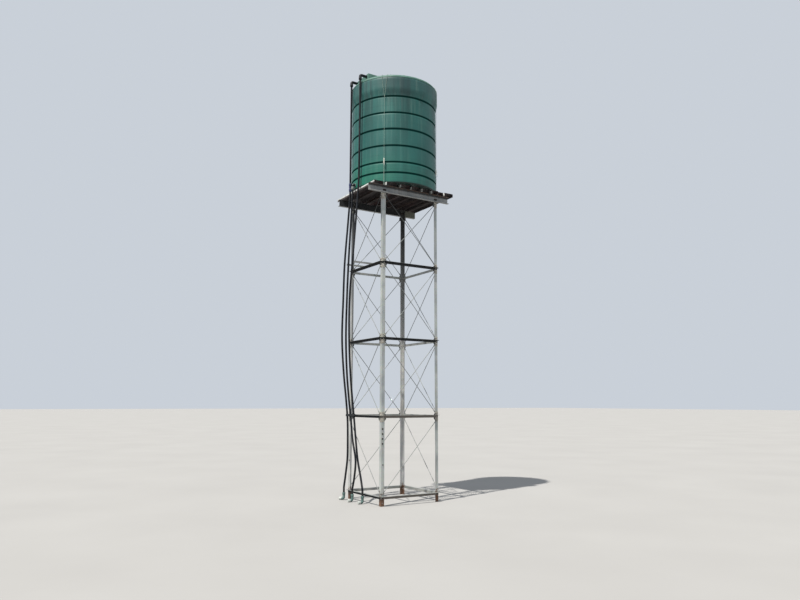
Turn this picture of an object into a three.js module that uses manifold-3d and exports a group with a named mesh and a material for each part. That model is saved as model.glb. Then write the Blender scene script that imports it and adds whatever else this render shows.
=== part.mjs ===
// Water tower: a grooved plastic tank on a deck of inverted channels, carried by four angle legs whose
// sides are braced as flat lattices, with three plastic pipes down its left side.
// Millimetres, +Z up. The front is -Y, the right is +X. The pieces are drawn round the tower's own axis,
// and the whole is then moved so that the origin is on the ground under the middle of its outline in plan.
import * as THREE from "three";
import { mergeVertices } from "three/addons/utils/BufferGeometryUtils.js";
import Module from "manifold-3d";

// Driving dimensions
const GAP = 0.3;
const SPACING = 1310;
const HALF = SPACING / 2;
const BAY = 1500;
const LEVEL_1 = 180;
const LEVELS = [LEVEL_1, LEVEL_1 + BAY, LEVEL_1 + 2 * BAY, LEVEL_1 + 3 * BAY];

const LEG_FLANGE = 70;
const LEG_THICKNESS = 6;
const BRACE_FLANGE = 50;
const BRACE_THICKNESS = 5;
const ROD_DIAMETER = 12;
const ROD_SIDES = 6;

const BEAM_HEIGHT = 140;
const BEAM_FLANGE = 60;
const BEAM_WEB_THICKNESS = 7;
const BEAM_FLANGE_THICKNESS = 9;
const BEAM_BOTTOM = 6075;
const BEAM_TOP = BEAM_BOTTOM + BEAM_HEIGHT;
const FRONT_BEAM_ENDS = [-990, 930];
const BACK_BEAM_ENDS = [-955, 975];

const DECK_HEIGHT = 66;
const DECK_THICKNESS = 4;
const DECK_BOTTOM = BEAM_TOP + GAP;
const DECK_TOP = DECK_BOTTOM + DECK_HEIGHT;
// Each channel of the deck: left edge, width, front end, back end
const DECK_CHANNELS = [
  [-890, 200, -722, 870],
  [-622, 232, -752, 850],
  [-295, 215, -770, 885],
  [-31, 195, -755, 860],
  [225, 178, -768, 880],
  [461, 152, -775, 845],
  [626, 140, -740, 875],
  [779, 218, -765, 855],
];

const TANK_RADIUS = 903;
const TANK_SKIN = 10;
const WALL_SKIN = 18;
const TANK_INNER_RADIUS = TANK_RADIUS - WALL_SKIN;
const TANK_SIDES = 48;
const TANK_BOTTOM = DECK_TOP + GAP;
const FLOOR_THICKNESS = 14;
const WALL_TOP = 8518;
// The top band of the wall flares out to the rim
const RIM_RADIUS = 935;
const RIM_FOOT = 8300;
const GROOVE_HEIGHTS = [6493, 6714, 7060, 7414, 7764, 8116];
const GROOVE_DEPTH = 11;
const GROOVE_HALF_WIDTH = 14;
const GROOVE_FLOOR_HALF_WIDTH = 5;
const ROOF_RIM_HEIGHT = 58;
const ROOF_RIB_COUNT = 20;
const ROOF_RIB_WIDTH = 34;
const ROOF_RIB_HEIGHT = 14;
const NECK_RADIUS = 235;
const NECK_TOP = 8788;
const MANHOLE_RADIUS = 205;
const LID_RADIUS = 258;
const LID_TOP = 8822;
const INLET_BLOCK_FACE = -800;
const INLET_BLOCK_BACK = -420;
const INLET_BLOCK_HALF_WIDTH = 270;
const INLET_BLOCK_FOOT = WALL_TOP + 20;
const INLET_BLOCK_TOP = 8740;

const PIPE_DIAMETER = 40;
const PIPE_SIDES = 8;
const FITTING_DIAMETER = 54;
const NUT_DIAMETER = 62;
const PIPE_LINE_X = -950;
const INLET_HEIGHT = 8684;
const FILL_PIPE_Y = 181;
const OVERFLOW_PIPE_Y = -200;
const SUPPLY_PIPE_Y = 55;
const OUTLET_LINE_X = -960;
const OUTLET_HEIGHT = 6375;
const COUPLING_TOP = 6435;
const COUPLING_BOTTOM = 6265;

const ROPE_DIAMETER = 7;

const COLOURS = {
  galvanised: { color: 0xb9b8ae, roughness: 0.55, metalness: 0.6 },
  deck: { color: 0x3b2b29, roughness: 0.85, metalness: 0.2 },
  tank: { color: 0x2f6b52, roughness: 0.55, metalness: 0.0 },
  pipe: { color: 0x14161c, roughness: 0.5, metalness: 0.0 },
  coupling: { color: 0x24407e, roughness: 0.5, metalness: 0.0 },
  fitting: { color: 0x6f8f8c, roughness: 0.6, metalness: 0.0 },
  rope: { color: 0xb8bfb0, roughness: 0.9, metalness: 0.0 },
};

const wasm = await Module();
wasm.setup();

// Solids from three.js geometry and back

function solidOf(geometry) {
  const bare = geometry.index ? geometry.toNonIndexed() : geometry.clone();
  bare.deleteAttribute("normal");
  bare.deleteAttribute("uv");
  const merged = mergeVertices(bare, 1e-3);
  return new wasm.Manifold(new wasm.Mesh({
    numProp: 3,
    vertProperties: new Float32Array(merged.attributes.position.array),
    triVerts: new Uint32Array(merged.index.array),
  }));
}

function geometryOf(solid) {
  const mesh = solid.getMesh();
  const geometry = new THREE.BufferGeometry();
  geometry.setAttribute("position", new THREE.BufferAttribute(new Float32Array(mesh.vertProperties), 3));
  geometry.setIndex(new THREE.BufferAttribute(new Uint32Array(mesh.triVerts), 1));
  geometry.computeVertexNormals();
  return geometry;
}

function joined(geometries) {
  return geometries.map(solidOf).reduce((whole, piece) => whole.add(piece));
}

function mesh(name, geometry, look) {
  const piece = new THREE.Mesh(geometry, new THREE.MeshStandardMaterial(COLOURS[look]));
  piece.name = name;
  return piece;
}

// Basic shapes

function outline(points) {
  return new THREE.Shape(points.map(([a, b]) => new THREE.Vector2(a, b)));
}

function extruded(points, length) {
  return new THREE.ExtrudeGeometry(outline(points), { depth: length, bevelEnabled: false });
}

// Outline in (y, z), carried along +X from start to end
function prismAlongX(points, start, end) {
  const turn = new THREE.Matrix4().makeBasis(
    new THREE.Vector3(0, 1, 0), new THREE.Vector3(0, 0, 1), new THREE.Vector3(1, 0, 0));
  return extruded(points, end - start).applyMatrix4(turn).translate(start, 0, 0);
}

// Outline in (x, z), carried along Y from front to back
function prismAlongY(points, front, back) {
  const turn = new THREE.Matrix4().makeBasis(
    new THREE.Vector3(1, 0, 0), new THREE.Vector3(0, 0, 1), new THREE.Vector3(0, -1, 0));
  return extruded(points, back - front).applyMatrix4(turn).translate(0, back, 0);
}

function prismAlongZ(points, bottom, top) {
  return extruded(points, top - bottom).translate(0, 0, bottom);
}

function box(low, high) {
  const size = high.map((value, axis) => value - low[axis]);
  const middle = high.map((value, axis) => (value + low[axis]) / 2);
  return new THREE.BoxGeometry(...size).translate(...middle);
}

function bar(from, to, radius, sides) {
  const start = new THREE.Vector3(...from);
  const end = new THREE.Vector3(...to);
  const way = end.clone().sub(start);
  const up = new THREE.Vector3(0, 1, 0);
  const turn = new THREE.Quaternion().setFromUnitVectors(up, way.clone().normalize());
  return new THREE.CylinderGeometry(radius, radius, way.length(), sides)
    .applyQuaternion(turn)
    .translate(...start.add(end).multiplyScalar(0.5).toArray());
}

function turned(profile, sides = TANK_SIDES) {
  const points = profile.map(([radius, height]) => new THREE.Vector2(radius, height));
  return new THREE.LatheGeometry(points, sides).rotateX(Math.PI / 2);
}

function polygonSection(radius, sides) {
  const corner = (index) => (2 * Math.PI * index) / sides;
  return outline(Array.from({ length: sides }, (_, index) => (
    [radius * Math.cos(corner(index)), radius * Math.sin(corner(index))])));
}

// A line that runs straight from one station to the next, with its section mitred at each
class StationLine extends THREE.Curve {
  constructor(points) {
    super();
    this.stations = points.map((point) => new THREE.Vector3(...point));
  }

  getPoint(share) {
    const place = share * (this.stations.length - 1);
    const index = Math.min(Math.floor(place), this.stations.length - 2);
    return this.stations[index].clone().lerp(this.stations[index + 1], place - index);
  }

  getPointAt(share) {
    return this.getPoint(share);
  }

  getTangentAt(share) {
    const last = this.stations.length - 1;
    const index = Math.round(share * last);
    const ways = [[index - 1, index], [index, index + 1]]
      .filter(([from, to]) => from >= 0 && to <= last)
      .map(([from, to]) => this.stations[to].clone().sub(this.stations[from]).normalize());
    return ways.reduce((sum, way) => sum.add(way)).normalize();
  }
}

function straightRuns(points, radius, sides) {
  return new THREE.ExtrudeGeometry(polygonSection(radius, sides), {
    extrudePath: new StationLine(points), steps: points.length - 1, bevelEnabled: false,
  });
}

function tube(points, radius, steps) {
  const path = new THREE.CatmullRomCurve3(points.map((point) => new THREE.Vector3(...point)));
  return new THREE.ExtrudeGeometry(polygonSection(radius, PIPE_SIDES), {
    extrudePath: path, steps, bevelEnabled: false,
  });
}

// Legs: equal angles with the heel outward, one shape turned to each corner

function leg(name) {
  const inner = -HALF + LEG_THICKNESS;
  const tip = -HALF + LEG_FLANGE;
  const section = [
    [-HALF, -HALF], [tip, -HALF], [tip, inner], [inner, inner], [inner, tip], [-HALF, tip],
  ];
  return mesh(name, prismAlongZ(section, 0, BEAM_TOP), "galvanised");
}

// Braces of one side, drawn for the front: an upright flange on the legs' outer faces, and a level
// flange on top that points outward

const FACE = -HALF - GAP;
const WELD_SINK = 1;
const GUSSET_WIDTH = 100;
const GUSSET_WAIST = 55;
const GUSSET_CORNER_SHARE = 0.3;
const GUSSET_RISE = 65;
const GUSSET_DROP = 125;
// The rods end this far inside the legs' heels, above a brace and below the next one's top
const ROD_INSET = 62;
const ROD_FOOT_RISE = 43;
const ROD_HEAD_DROP = 88;
const TOP_GUSSET_CLEARANCE = 5;
const TOP_BAY_HEAD = BEAM_BOTTOM + 20;
const ROD_LINE = FACE - BRACE_THICKNESS - ROD_DIAMETER / 2 + WELD_SINK;

function brace(level) {
  const outer = FACE - BRACE_FLANGE;
  const web = FACE - BRACE_THICKNESS;
  const section = [
    [FACE, level - BRACE_FLANGE], [FACE, level], [outer, level], [outer, level - BRACE_THICKNESS],
    [web, level - BRACE_THICKNESS], [web, level - BRACE_FLANGE],
  ];
  return prismAlongX(section, -HALF, HALF);
}

// Gusset plate in the plane of the brace's upright flange; side is -1 at the left leg, +1 at the right
function gusset(side, low, high) {
  const heel = side * HALF;
  const tip = side * (HALF - GUSSET_WIDTH);
  const corner = (high - low) * GUSSET_CORNER_SHARE;
  const waist = side * (HALF - GUSSET_WAIST);
  const section = [[heel, low], [waist, low], [tip, low + corner], [tip, high - corner], [waist, high],
    [heel, high]];
  const ordered = side < 0 ? section : section.reverse();
  return prismAlongY(ordered, FACE - BRACE_THICKNESS, FACE);
}

function crossedRods(low, high) {
  const reach = HALF - ROD_INSET;
  const foot = low + ROD_FOOT_RISE;
  const head = high - ROD_HEAD_DROP;
  return [-1, 1].map((side) => bar(
    [side * reach, ROD_LINE, foot], [-side * reach, ROD_LINE, head], ROD_DIAMETER / 2, ROD_SIDES));
}

function lattice(name) {
  const pieces = [];
  const [, ...braced] = LEVELS;
  for (const level of braced) {
    pieces.push(brace(level));
    for (const side of [-1, 1]) {
      pieces.push(gusset(side, level - GUSSET_DROP, level + GUSSET_RISE));
    }
  }
  for (const side of [-1, 1]) {
    pieces.push(gusset(side, BEAM_BOTTOM - GUSSET_DROP, BEAM_BOTTOM - TOP_GUSSET_CLEARANCE));
  }
  braced.forEach((level, index) => {
    pieces.push(...crossedRods(level, braced[index + 1] ?? TOP_BAY_HEAD));
  });
  return mesh(name, geometryOf(joined(pieces)), "galvanised");
}

function baseBrace(name) {
  return mesh(name, brace(LEVELS[0]), "galvanised");
}

// The single sloping rod of the lowest bay: a rod with a flat lug at each end. The upper lug lies on the
// gusset, the lower one on the leg. rise is +1 where the rod's head is at the right of the side.
function footRod(name, rise) {
  const lugHalfWidth = 22;
  const lugHalfHeight = 42;
  const reach = HALF - LEG_FLANGE / 2;
  const headHeight = LEVELS[1] - BRACE_FLANGE - lugHalfHeight;
  const footHeight = LEVELS[0] + 55;
  const headFace = FACE - BRACE_THICKNESS - GAP;
  const lug = (x, face, height) => box(
    [x - lugHalfWidth, face - BRACE_THICKNESS, height - lugHalfHeight],
    [x + lugHalfWidth, face, height + lugHalfHeight]);
  const offset = BRACE_THICKNESS + ROD_DIAMETER / 2 - WELD_SINK;
  return mesh(name, geometryOf(joined([
    lug(rise * reach, headFace, headHeight),
    lug(-rise * reach, FACE, footHeight),
    bar([rise * reach, headFace - offset, headHeight], [-rise * reach, FACE - offset, footHeight],
      ROD_DIAMETER / 2, ROD_SIDES),
  ])), "galvanised");
}

// Deck beams: channels with the web on the legs' outer faces and the flanges pointing outward

function beam(name, ends) {
  const outer = FACE - BEAM_FLANGE;
  const web = FACE - BEAM_WEB_THICKNESS;
  const section = [
    [FACE, BEAM_BOTTOM], [FACE, BEAM_TOP], [outer, BEAM_TOP], [outer, BEAM_TOP - BEAM_FLANGE_THICKNESS],
    [web, BEAM_TOP - BEAM_FLANGE_THICKNESS], [web, BEAM_BOTTOM + BEAM_FLANGE_THICKNESS],
    [outer, BEAM_BOTTOM + BEAM_FLANGE_THICKNESS], [outer, BEAM_BOTTOM],
  ];
  return mesh(name, prismAlongX(section, ...ends), "galvanised");
}

function deckChannel(name, [left, width, front, back]) {
  const right = left + width;
  const t = DECK_THICKNESS;
  const section = [
    [left, DECK_BOTTOM], [left + t, DECK_BOTTOM], [left + t, DECK_TOP - t], [right - t, DECK_TOP - t],
    [right - t, DECK_BOTTOM], [right, DECK_BOTTOM], [right, DECK_TOP], [left, DECK_TOP],
  ];
  return mesh(name, prismAlongY(section, front, back), "deck");
}

// Tank: floor, grooved wall, ribbed roof with its inlet block, and lid

function tankFloor() {
  const inner = TANK_INNER_RADIUS - 1;
  return mesh("tank_floor", turned([
    [0, TANK_BOTTOM], [inner, TANK_BOTTOM], [inner, TANK_BOTTOM + FLOOR_THICKNESS],
    [0, TANK_BOTTOM + FLOOR_THICKNESS],
  ]), "tank");
}

function tankWall() {
  const profile = [[TANK_INNER_RADIUS, TANK_BOTTOM], [TANK_RADIUS, TANK_BOTTOM]];
  const grooveFloor = TANK_RADIUS - GROOVE_DEPTH;
  for (const height of GROOVE_HEIGHTS) {
    profile.push([TANK_RADIUS, height - GROOVE_HALF_WIDTH]);
    profile.push([grooveFloor, height - GROOVE_FLOOR_HALF_WIDTH]);
    profile.push([grooveFloor, height + GROOVE_FLOOR_HALF_WIDTH]);
    profile.push([TANK_RADIUS, height + GROOVE_HALF_WIDTH]);
  }
  const rimInner = RIM_RADIUS - WALL_SKIN;
  const flareFoot = GROOVE_HEIGHTS.at(-1) + GROOVE_HALF_WIDTH;
  profile.push([RIM_RADIUS, RIM_FOOT], [RIM_RADIUS, WALL_TOP], [rimInner, WALL_TOP], [rimInner, RIM_FOOT]);
  profile.push([TANK_INNER_RADIUS, flareFoot], profile[0]);
  return mesh("tank_wall", turned(profile), "tank");
}

const ROOF_BOTTOM = WALL_TOP + GAP;
const ROOF_SHOULDER = ROOF_BOTTOM + ROOF_RIM_HEIGHT;
const ROOF_MIDDLE_RADIUS = 650;
const ROOF_UPPER_RADIUS = 450;
const ROOF_TOP = 8720;
// Radius and height of the roof's outer surface, from the rim inward
const ROOF_LINE = [
  [RIM_RADIUS, ROOF_BOTTOM], [RIM_RADIUS - 3, ROOF_SHOULDER - 36], [RIM_RADIUS - 16, ROOF_SHOULDER - 13],
  [RIM_RADIUS - 42, ROOF_SHOULDER], [ROOF_MIDDLE_RADIUS, 8646], [ROOF_UPPER_RADIUS, 8690], [290, ROOF_TOP],
];

function roofHeightAt(radius) {
  const outer = ROOF_LINE.findIndex(([r], index) => index > 0 && r <= radius);
  const [r1, z1] = ROOF_LINE[outer];
  const [r0, z0] = ROOF_LINE[outer - 1];
  return z0 + ((radius - r0) * (z1 - z0)) / (r1 - r0);
}

// A rib tapers to nothing at the shoulder and is sunk a little into the roof along its length
function roofRib(angle) {
  const sink = 6;
  const stations = [RIM_RADIUS - 44, RIM_RADIUS - 58, ROOF_MIDDLE_RADIUS, ROOF_UPPER_RADIUS, 300];
  const over = stations.map((r, index) => (
    [r, roofHeightAt(r) + (index === 0 ? 2 : ROOF_RIB_HEIGHT)]));
  const under = [...stations].reverse().map((r) => [r, roofHeightAt(r) - sink]);
  const rib = prismAlongY([...over, ...under].reverse(), -ROOF_RIB_WIDTH / 2, ROOF_RIB_WIDTH / 2);
  return rib.rotateZ(angle);
}

function inletBlock(skin) {
  return box(
    [INLET_BLOCK_FACE + skin, -INLET_BLOCK_HALF_WIDTH + skin, INLET_BLOCK_FOOT],
    [INLET_BLOCK_BACK, INLET_BLOCK_HALF_WIDTH - skin, INLET_BLOCK_TOP - skin]);
}

function tankRoof() {
  const overrun = 30;
  const neck = [[NECK_RADIUS + 8, ROOF_TOP + 8], [NECK_RADIUS, ROOF_TOP + 18], [NECK_RADIUS, NECK_TOP]];
  const outer = solidOf(turned([[0, ROOF_BOTTOM], ...ROOF_LINE, ...neck, [0, NECK_TOP]]));
  const innerLine = ROOF_LINE.map(([radius, height], index) => (
    [radius - TANK_SKIN, height - (index === 0 ? overrun : TANK_SKIN)]));
  const inner = solidOf(turned([[0, ROOF_BOTTOM - overrun], ...innerLine, [0, ROOF_TOP - TANK_SKIN]]));
  const manhole = solidOf(turned([
    [0, ROOF_SHOULDER], [MANHOLE_RADIUS, ROOF_SHOULDER], [MANHOLE_RADIUS, NECK_TOP + overrun],
    [0, NECK_TOP + overrun],
  ]));
  let roof = outer.add(solidOf(inletBlock(0)));
  for (let count = 0; count < ROOF_RIB_COUNT; count += 1) {
    const angle = (2 * Math.PI * count) / ROOF_RIB_COUNT;
    const underBlock = Math.abs(count - ROOF_RIB_COUNT / 2) <= 1;
    if (!underBlock) roof = roof.add(solidOf(roofRib(angle)));
  }
  roof = roof.subtract(inner).subtract(solidOf(inletBlock(TANK_SKIN))).subtract(manhole);
  return mesh("tank_roof", geometryOf(roof), "tank");
}

function tankLid() {
  const skirt = 30;
  const edge = 13;
  const top = NECK_TOP + GAP;
  const inner = NECK_RADIUS + 3;
  return mesh("tank_lid", turned([
    [0, top], [inner, top], [inner, top - skirt], [LID_RADIUS, top - skirt],
    [LID_RADIUS, LID_TOP - edge], [LID_RADIUS - edge, LID_TOP], [0, LID_TOP],
  ]), "tank");
}

// Pipes: each route is a list of hand-picked places, top first

const ELBOW_BEND = 45;
const SOCKET_LENGTH = 60;
const SOCKET_BOTTOM = INLET_HEIGHT - ELBOW_BEND - SOCKET_LENGTH;
const OUTLET_SOCKET_BOTTOM = OUTLET_HEIGHT - ELBOW_BEND - SOCKET_LENGTH;
const FOOT_NUT_TOP = 150;
const FOOT_END = FOOT_NUT_TOP + GAP;

// The first and last stretches run straight down, so that the pipe stands square in its fittings
function plumbEnds(top, bottom, between) {
  const run = 45;
  const [topX, topY, topHeight] = top;
  const [footX, footY, footHeight] = bottom;
  return [
    top, [topX, topY, topHeight - run], [topX, topY, topHeight - 2 * run], ...between,
    [footX, footY, footHeight + 2 * run], [footX, footY, footHeight + run], bottom,
  ];
}

const FILL_ROUTE = plumbEnds(
  [PIPE_LINE_X, FILL_PIPE_Y, COUPLING_BOTTOM - GAP], [-826, 515, FOOT_END],
  [[-954, 194, 6000], [-980, 200, 5600], [-1062, 168, 4700], [-1064, 200, 4000], [-1040, 275, 3200],
    [-962, 330, 2500], [-886, 362, 2000], [-834, 385, 1600], [-820, 390, 1200], [-815, 405, 800],
    [-820, 465, 480]]);
const OVERFLOW_ROUTE = plumbEnds(
  [PIPE_LINE_X, OVERFLOW_PIPE_Y, SOCKET_BOTTOM - GAP], [-778, -165, FOOT_END],
  [[-950, -200, 7600], [-950, -194, 6800], [-950, -180, 6350], [-1004, -186, 5600], [-1086, -215, 4700],
    [-1035, -20, 4000], [-950, 140, 3200], [-850, 255, 2500], [-768, 315, 2000], [-732, 295, 1600],
    [-738, 205, 1200], [-758, 75, 800], [-770, -75, 480]]);
const SUPPLY_ROUTE = plumbEnds(
  [OUTLET_LINE_X, SUPPLY_PIPE_Y, OUTLET_SOCKET_BOTTOM - GAP], [-815, 180, FOOT_END],
  [[-966, 60, 6000], [-980, 72, 5600], [-1018, 85, 4700], [-1015, 135, 4000], [-985, 212, 3200],
    [-905, 300, 2500], [-830, 345, 2000], [-782, 340, 1600], [-800, 225, 1200], [-815, 60, 800],
    [-815, 110, 450]]);

function pipe(name, route, steps) {
  return mesh(name, tube(route, PIPE_DIAMETER / 2, steps), "pipe");
}

function fillPipeUpper() {
  const x = PIPE_LINE_X;
  const y = FILL_PIPE_Y;
  return mesh("fill_pipe_upper", bar([x, y, SOCKET_BOTTOM - GAP], [x, y, COUPLING_TOP + GAP],
    PIPE_DIAMETER / 2, PIPE_SIDES), "pipe");
}

const COLLAR_RADIUS = NUT_DIAMETER / 2 - 3;
// A ball at an elbow's corner covers the ends of both arms
const BALL_RADIUS = (FITTING_DIAMETER / 2) * 1.04;
const BALL_DETAIL = 1;
const FITTING_OVERLAP = 10;

// Elbow from a face at faceX out to the pipe's line and down into a socket
function elbow(faceX, lineX, y, height) {
  const radius = FITTING_DIAMETER / 2;
  const sides = 10;
  const nutLength = 22;
  const corner = [lineX, y, height];
  const socketTop = height - ELBOW_BEND;
  return joined([
    bar([faceX, y, height], [faceX - nutLength, y, height], NUT_DIAMETER / 2, 6),
    bar([faceX - FITTING_OVERLAP, y, height], corner, radius, sides),
    new THREE.IcosahedronGeometry(BALL_RADIUS, BALL_DETAIL).translate(...corner),
    bar(corner, [lineX, y, socketTop - FITTING_OVERLAP], radius, sides),
    bar([lineX, y, socketTop], [lineX, y, socketTop - SOCKET_LENGTH], COLLAR_RADIUS, sides),
  ]);
}

function topElbow(name, y) {
  return mesh(name, geometryOf(elbow(INLET_BLOCK_FACE - GAP, PIPE_LINE_X, y, INLET_HEIGHT)), "pipe");
}

// The outlet's inner end is cut to the tank wall's own faceted curve
function tankOutlet() {
  const start = -TANK_RADIUS + 25;
  const flangeFace = -TANK_RADIUS - 14;
  const flangeRadius = NUT_DIAMETER / 2 + 6;
  const body = elbow(start, OUTLET_LINE_X, SUPPLY_PIPE_Y, OUTLET_HEIGHT);
  const flange = solidOf(bar(
    [start, SUPPLY_PIPE_Y, OUTLET_HEIGHT], [flangeFace, SUPPLY_PIPE_Y, OUTLET_HEIGHT], flangeRadius, 12));
  const wall = solidOf(turned([
    [0, TANK_BOTTOM], [TANK_RADIUS + GAP, TANK_BOTTOM], [TANK_RADIUS + GAP, WALL_TOP], [0, WALL_TOP],
  ]));
  return mesh("tank_outlet", geometryOf(body.add(flange).subtract(wall)), "fitting");
}

function pipeCoupling() {
  const at = (height) => [PIPE_LINE_X, FILL_PIPE_Y, height];
  const nutLength = 55;
  return mesh("pipe_coupling", geometryOf(joined([
    bar(at(COUPLING_TOP), at(COUPLING_TOP - nutLength), COLLAR_RADIUS, 12),
    bar(at(COUPLING_TOP - FITTING_OVERLAP), at(COUPLING_BOTTOM + FITTING_OVERLAP), FITTING_DIAMETER / 2, 12),
    bar(at(COUPLING_BOTTOM + nutLength), at(COUPLING_BOTTOM), COLLAR_RADIUS, 12),
  ])), "coupling");
}

// Elbow at the foot of a pipe: a nut on the pipe and an outlet that lies on the ground
function footElbow(name, route, wayX, wayY) {
  const [x, y] = route[route.length - 1];
  const radius = FITTING_DIAMETER / 2;
  const sides = 12;
  const nutRadius = NUT_DIAMETER / 2;
  const nutLength = 52;
  const reach = 95;
  const at = (distance, height) => [x + wayX * distance, y + wayY * distance, height];
  return mesh(name, geometryOf(joined([
    bar(at(0, FOOT_NUT_TOP), at(0, FOOT_NUT_TOP - nutLength), nutRadius, sides),
    bar(at(0, FOOT_NUT_TOP - FITTING_OVERLAP), at(0, nutRadius), radius, sides),
    new THREE.IcosahedronGeometry(BALL_RADIUS, BALL_DETAIL).translate(...at(0, nutRadius)),
    bar(at(0, nutRadius), at(reach, nutRadius), radius, sides),
    bar(at(reach - nutLength, nutRadius), at(reach, nutRadius), nutRadius - GAP, sides),
  ])), "fitting");
}

// Bracket bars: small angles lying across the left brace of level 4, past the pipes
function bracketBar(name, y, left) {
  const flange = 30;
  const thickness = 4;
  const right = -HALF + 55;
  const low = LEVELS[3] + GAP;
  const section = [
    [y, low], [y + flange, low], [y + flange, low + thickness], [y + thickness, low + thickness],
    [y + thickness, low + flange], [y, low + flange],
  ];
  return mesh(name, prismAlongX(section, left, right), "galvanised");
}

// Tie: a flat band round the three pipes, hooked over the left brace of level 2
function pipeTie() {
  const low = LEVELS[1] - 30;
  const high = LEVELS[1] + 14;
  const [outerX, outerY] = [-841, 383];
  const [innerX, innerY] = [-737, 298];
  const angle = Math.atan2(outerY - innerY, outerX - innerX);
  const quarter = Math.PI / 2;
  const band = (radius, bottom, top) => {
    const shape = new THREE.Shape();
    shape.absarc(outerX, outerY, radius, angle - quarter, angle + quarter, false);
    shape.absarc(innerX, innerY, radius, angle + quarter, angle + 3 * quarter, false);
    shape.closePath();
    const settings = { depth: top - bottom, bevelEnabled: false, curveSegments: 8 };
    return solidOf(new THREE.ExtrudeGeometry(shape, settings).translate(0, 0, bottom));
  };
  const bandThickness = 5;
  const innerRadius = PIPE_DIAMETER / 2 + 6;
  const overrun = 5;
  const outer = band(innerRadius + bandThickness, low, high);
  const inner = band(innerRadius, low - overrun, high + overrun);
  const hookBottom = LEVELS[1] + GAP;
  const hook = solidOf(box([innerX + 25, 280, hookBottom], [-668, 312, hookBottom + 4]));
  return mesh("pipe_tie", geometryOf(outer.subtract(inner).add(hook)), "galvanised");
}

// Tie ropes: from the front beam's top flange up the tank, over the roof and lid and down to the back one

const ROPE_CLEARANCE = ROPE_DIAMETER / 2 + 1;
const ROPE_REST_HEIGHT = BEAM_TOP + 0.8;

function ropeHalf(x, y, crossing) {
  const foot = Math.hypot(x, y);
  const at = (radius, height) => [(x / foot) * radius, (y / foot) * radius, height];
  return [
    [x, y, ROPE_REST_HEIGHT],
    at(RIM_RADIUS + ROPE_CLEARANCE, RIM_FOOT),
    at(RIM_RADIUS + ROPE_CLEARANCE, WALL_TOP + 8),
    at(RIM_RADIUS + ROPE_CLEARANCE - 3, ROOF_SHOULDER - 34),
    at(RIM_RADIUS - 12, ROOF_SHOULDER - 10),
    at(RIM_RADIUS - 36, ROOF_SHOULDER + 12),
    at(ROOF_MIDDLE_RADIUS, roofHeightAt(ROOF_MIDDLE_RADIUS) + ROOF_RIB_HEIGHT + ROPE_CLEARANCE),
    at(LID_RADIUS + ROPE_CLEARANCE + 2, LID_TOP - 10),
    at(LID_RADIUS - 10, LID_TOP + ROPE_CLEARANCE + 1),
    at(40, crossing),
  ];
}

function tieRope(name, front, back, lift) {
  const sides = 6;
  const crossing = LID_TOP + ROPE_CLEARANCE + lift;
  const points = [...ropeHalf(...front, crossing), ...ropeHalf(...back, crossing).reverse()];
  return mesh(name, straightRuns(points, ROPE_DIAMETER / 2, sides), "rope");
}

// Assembly

const SIDES = [
  { side: "front", corner: "front_left", turn: 0, rise: 1 },
  { side: "right", corner: "front_right", turn: Math.PI / 2, rise: 1 },
  { side: "back", corner: "back_right", turn: Math.PI, rise: -1 },
  { side: "left", corner: "back_left", turn: -Math.PI / 2, rise: -1 },
];

function towerSide({ side, corner, turn, rise }) {
  const group = new THREE.Group();
  group.rotation.z = turn;
  group.add(leg(`leg_${corner}`), lattice(`lattice_${side}`));
  group.add(baseBrace(`base_brace_${side}`), footRod(`foot_rod_${side}`, rise));
  return group;
}

function deck() {
  const group = new THREE.Group();
  group.add(beam("beam_front", FRONT_BEAM_ENDS));
  const back = new THREE.Group();
  back.rotation.z = Math.PI;
  back.add(beam("beam_back", BACK_BEAM_ENDS.map((end) => -end).reverse()));
  group.add(back);
  DECK_CHANNELS.forEach((channel, index) => {
    group.add(deckChannel(`deck_channel_${index + 1}`, channel));
  });
  return group;
}

function tank() {
  const group = new THREE.Group();
  group.add(tankFloor(), tankWall(), tankRoof(), tankLid());
  return group;
}

function plumbing() {
  const steps = 40;
  const overflowSteps = 50;
  const group = new THREE.Group();
  group.add(topElbow("fill_elbow", FILL_PIPE_Y), topElbow("overflow_elbow", OVERFLOW_PIPE_Y));
  group.add(tankOutlet(), pipeCoupling(), fillPipeUpper());
  group.add(pipe("fill_pipe_lower", FILL_ROUTE, steps));
  group.add(pipe("overflow_pipe", OVERFLOW_ROUTE, overflowSteps));
  group.add(pipe("supply_pipe", SUPPLY_ROUTE, steps));
  group.add(footElbow("fill_foot_elbow", FILL_ROUTE, -0.6, 0.8));
  group.add(footElbow("overflow_foot_elbow", OVERFLOW_ROUTE, -1, 0));
  group.add(footElbow("supply_foot_elbow", SUPPLY_ROUTE, -1, 0));
  group.add(bracketBar("bracket_bar_1", 108, -1040), bracketBar("bracket_bar_2", -245, -1062));
  group.add(pipeTie());
  return group;
}

// The ropes' feet lie on the beams' flanges, in the gaps of the deck
function ropes() {
  const left = -655;
  const right = 618.5;
  const depth = 690;
  const group = new THREE.Group();
  group.add(tieRope("tie_rope_1", [left, -depth], [right, depth], 0));
  group.add(tieRope("tie_rope_2", [right, -depth], [left, depth], ROPE_DIAMETER + 2));
  return group;
}

const tower = new THREE.Group();
tower.add(...SIDES.map(towerSide), deck(), tank(), plumbing(), ropes());

const middle = new THREE.Box3().setFromObject(tower, true).getCenter(new THREE.Vector3());
tower.position.set(-middle.x, -middle.y, 0);

export default tower;
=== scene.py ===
"""The looks of the water tower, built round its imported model.

Metres, +Z up; the front is -Y and the right is +X. Shapes are drawn round the tower's own axis, which is
the tank's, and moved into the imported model's frame when they become pieces.
"""
import math

import bmesh
import bpy
from mathutils import Matrix, Vector, noise


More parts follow.
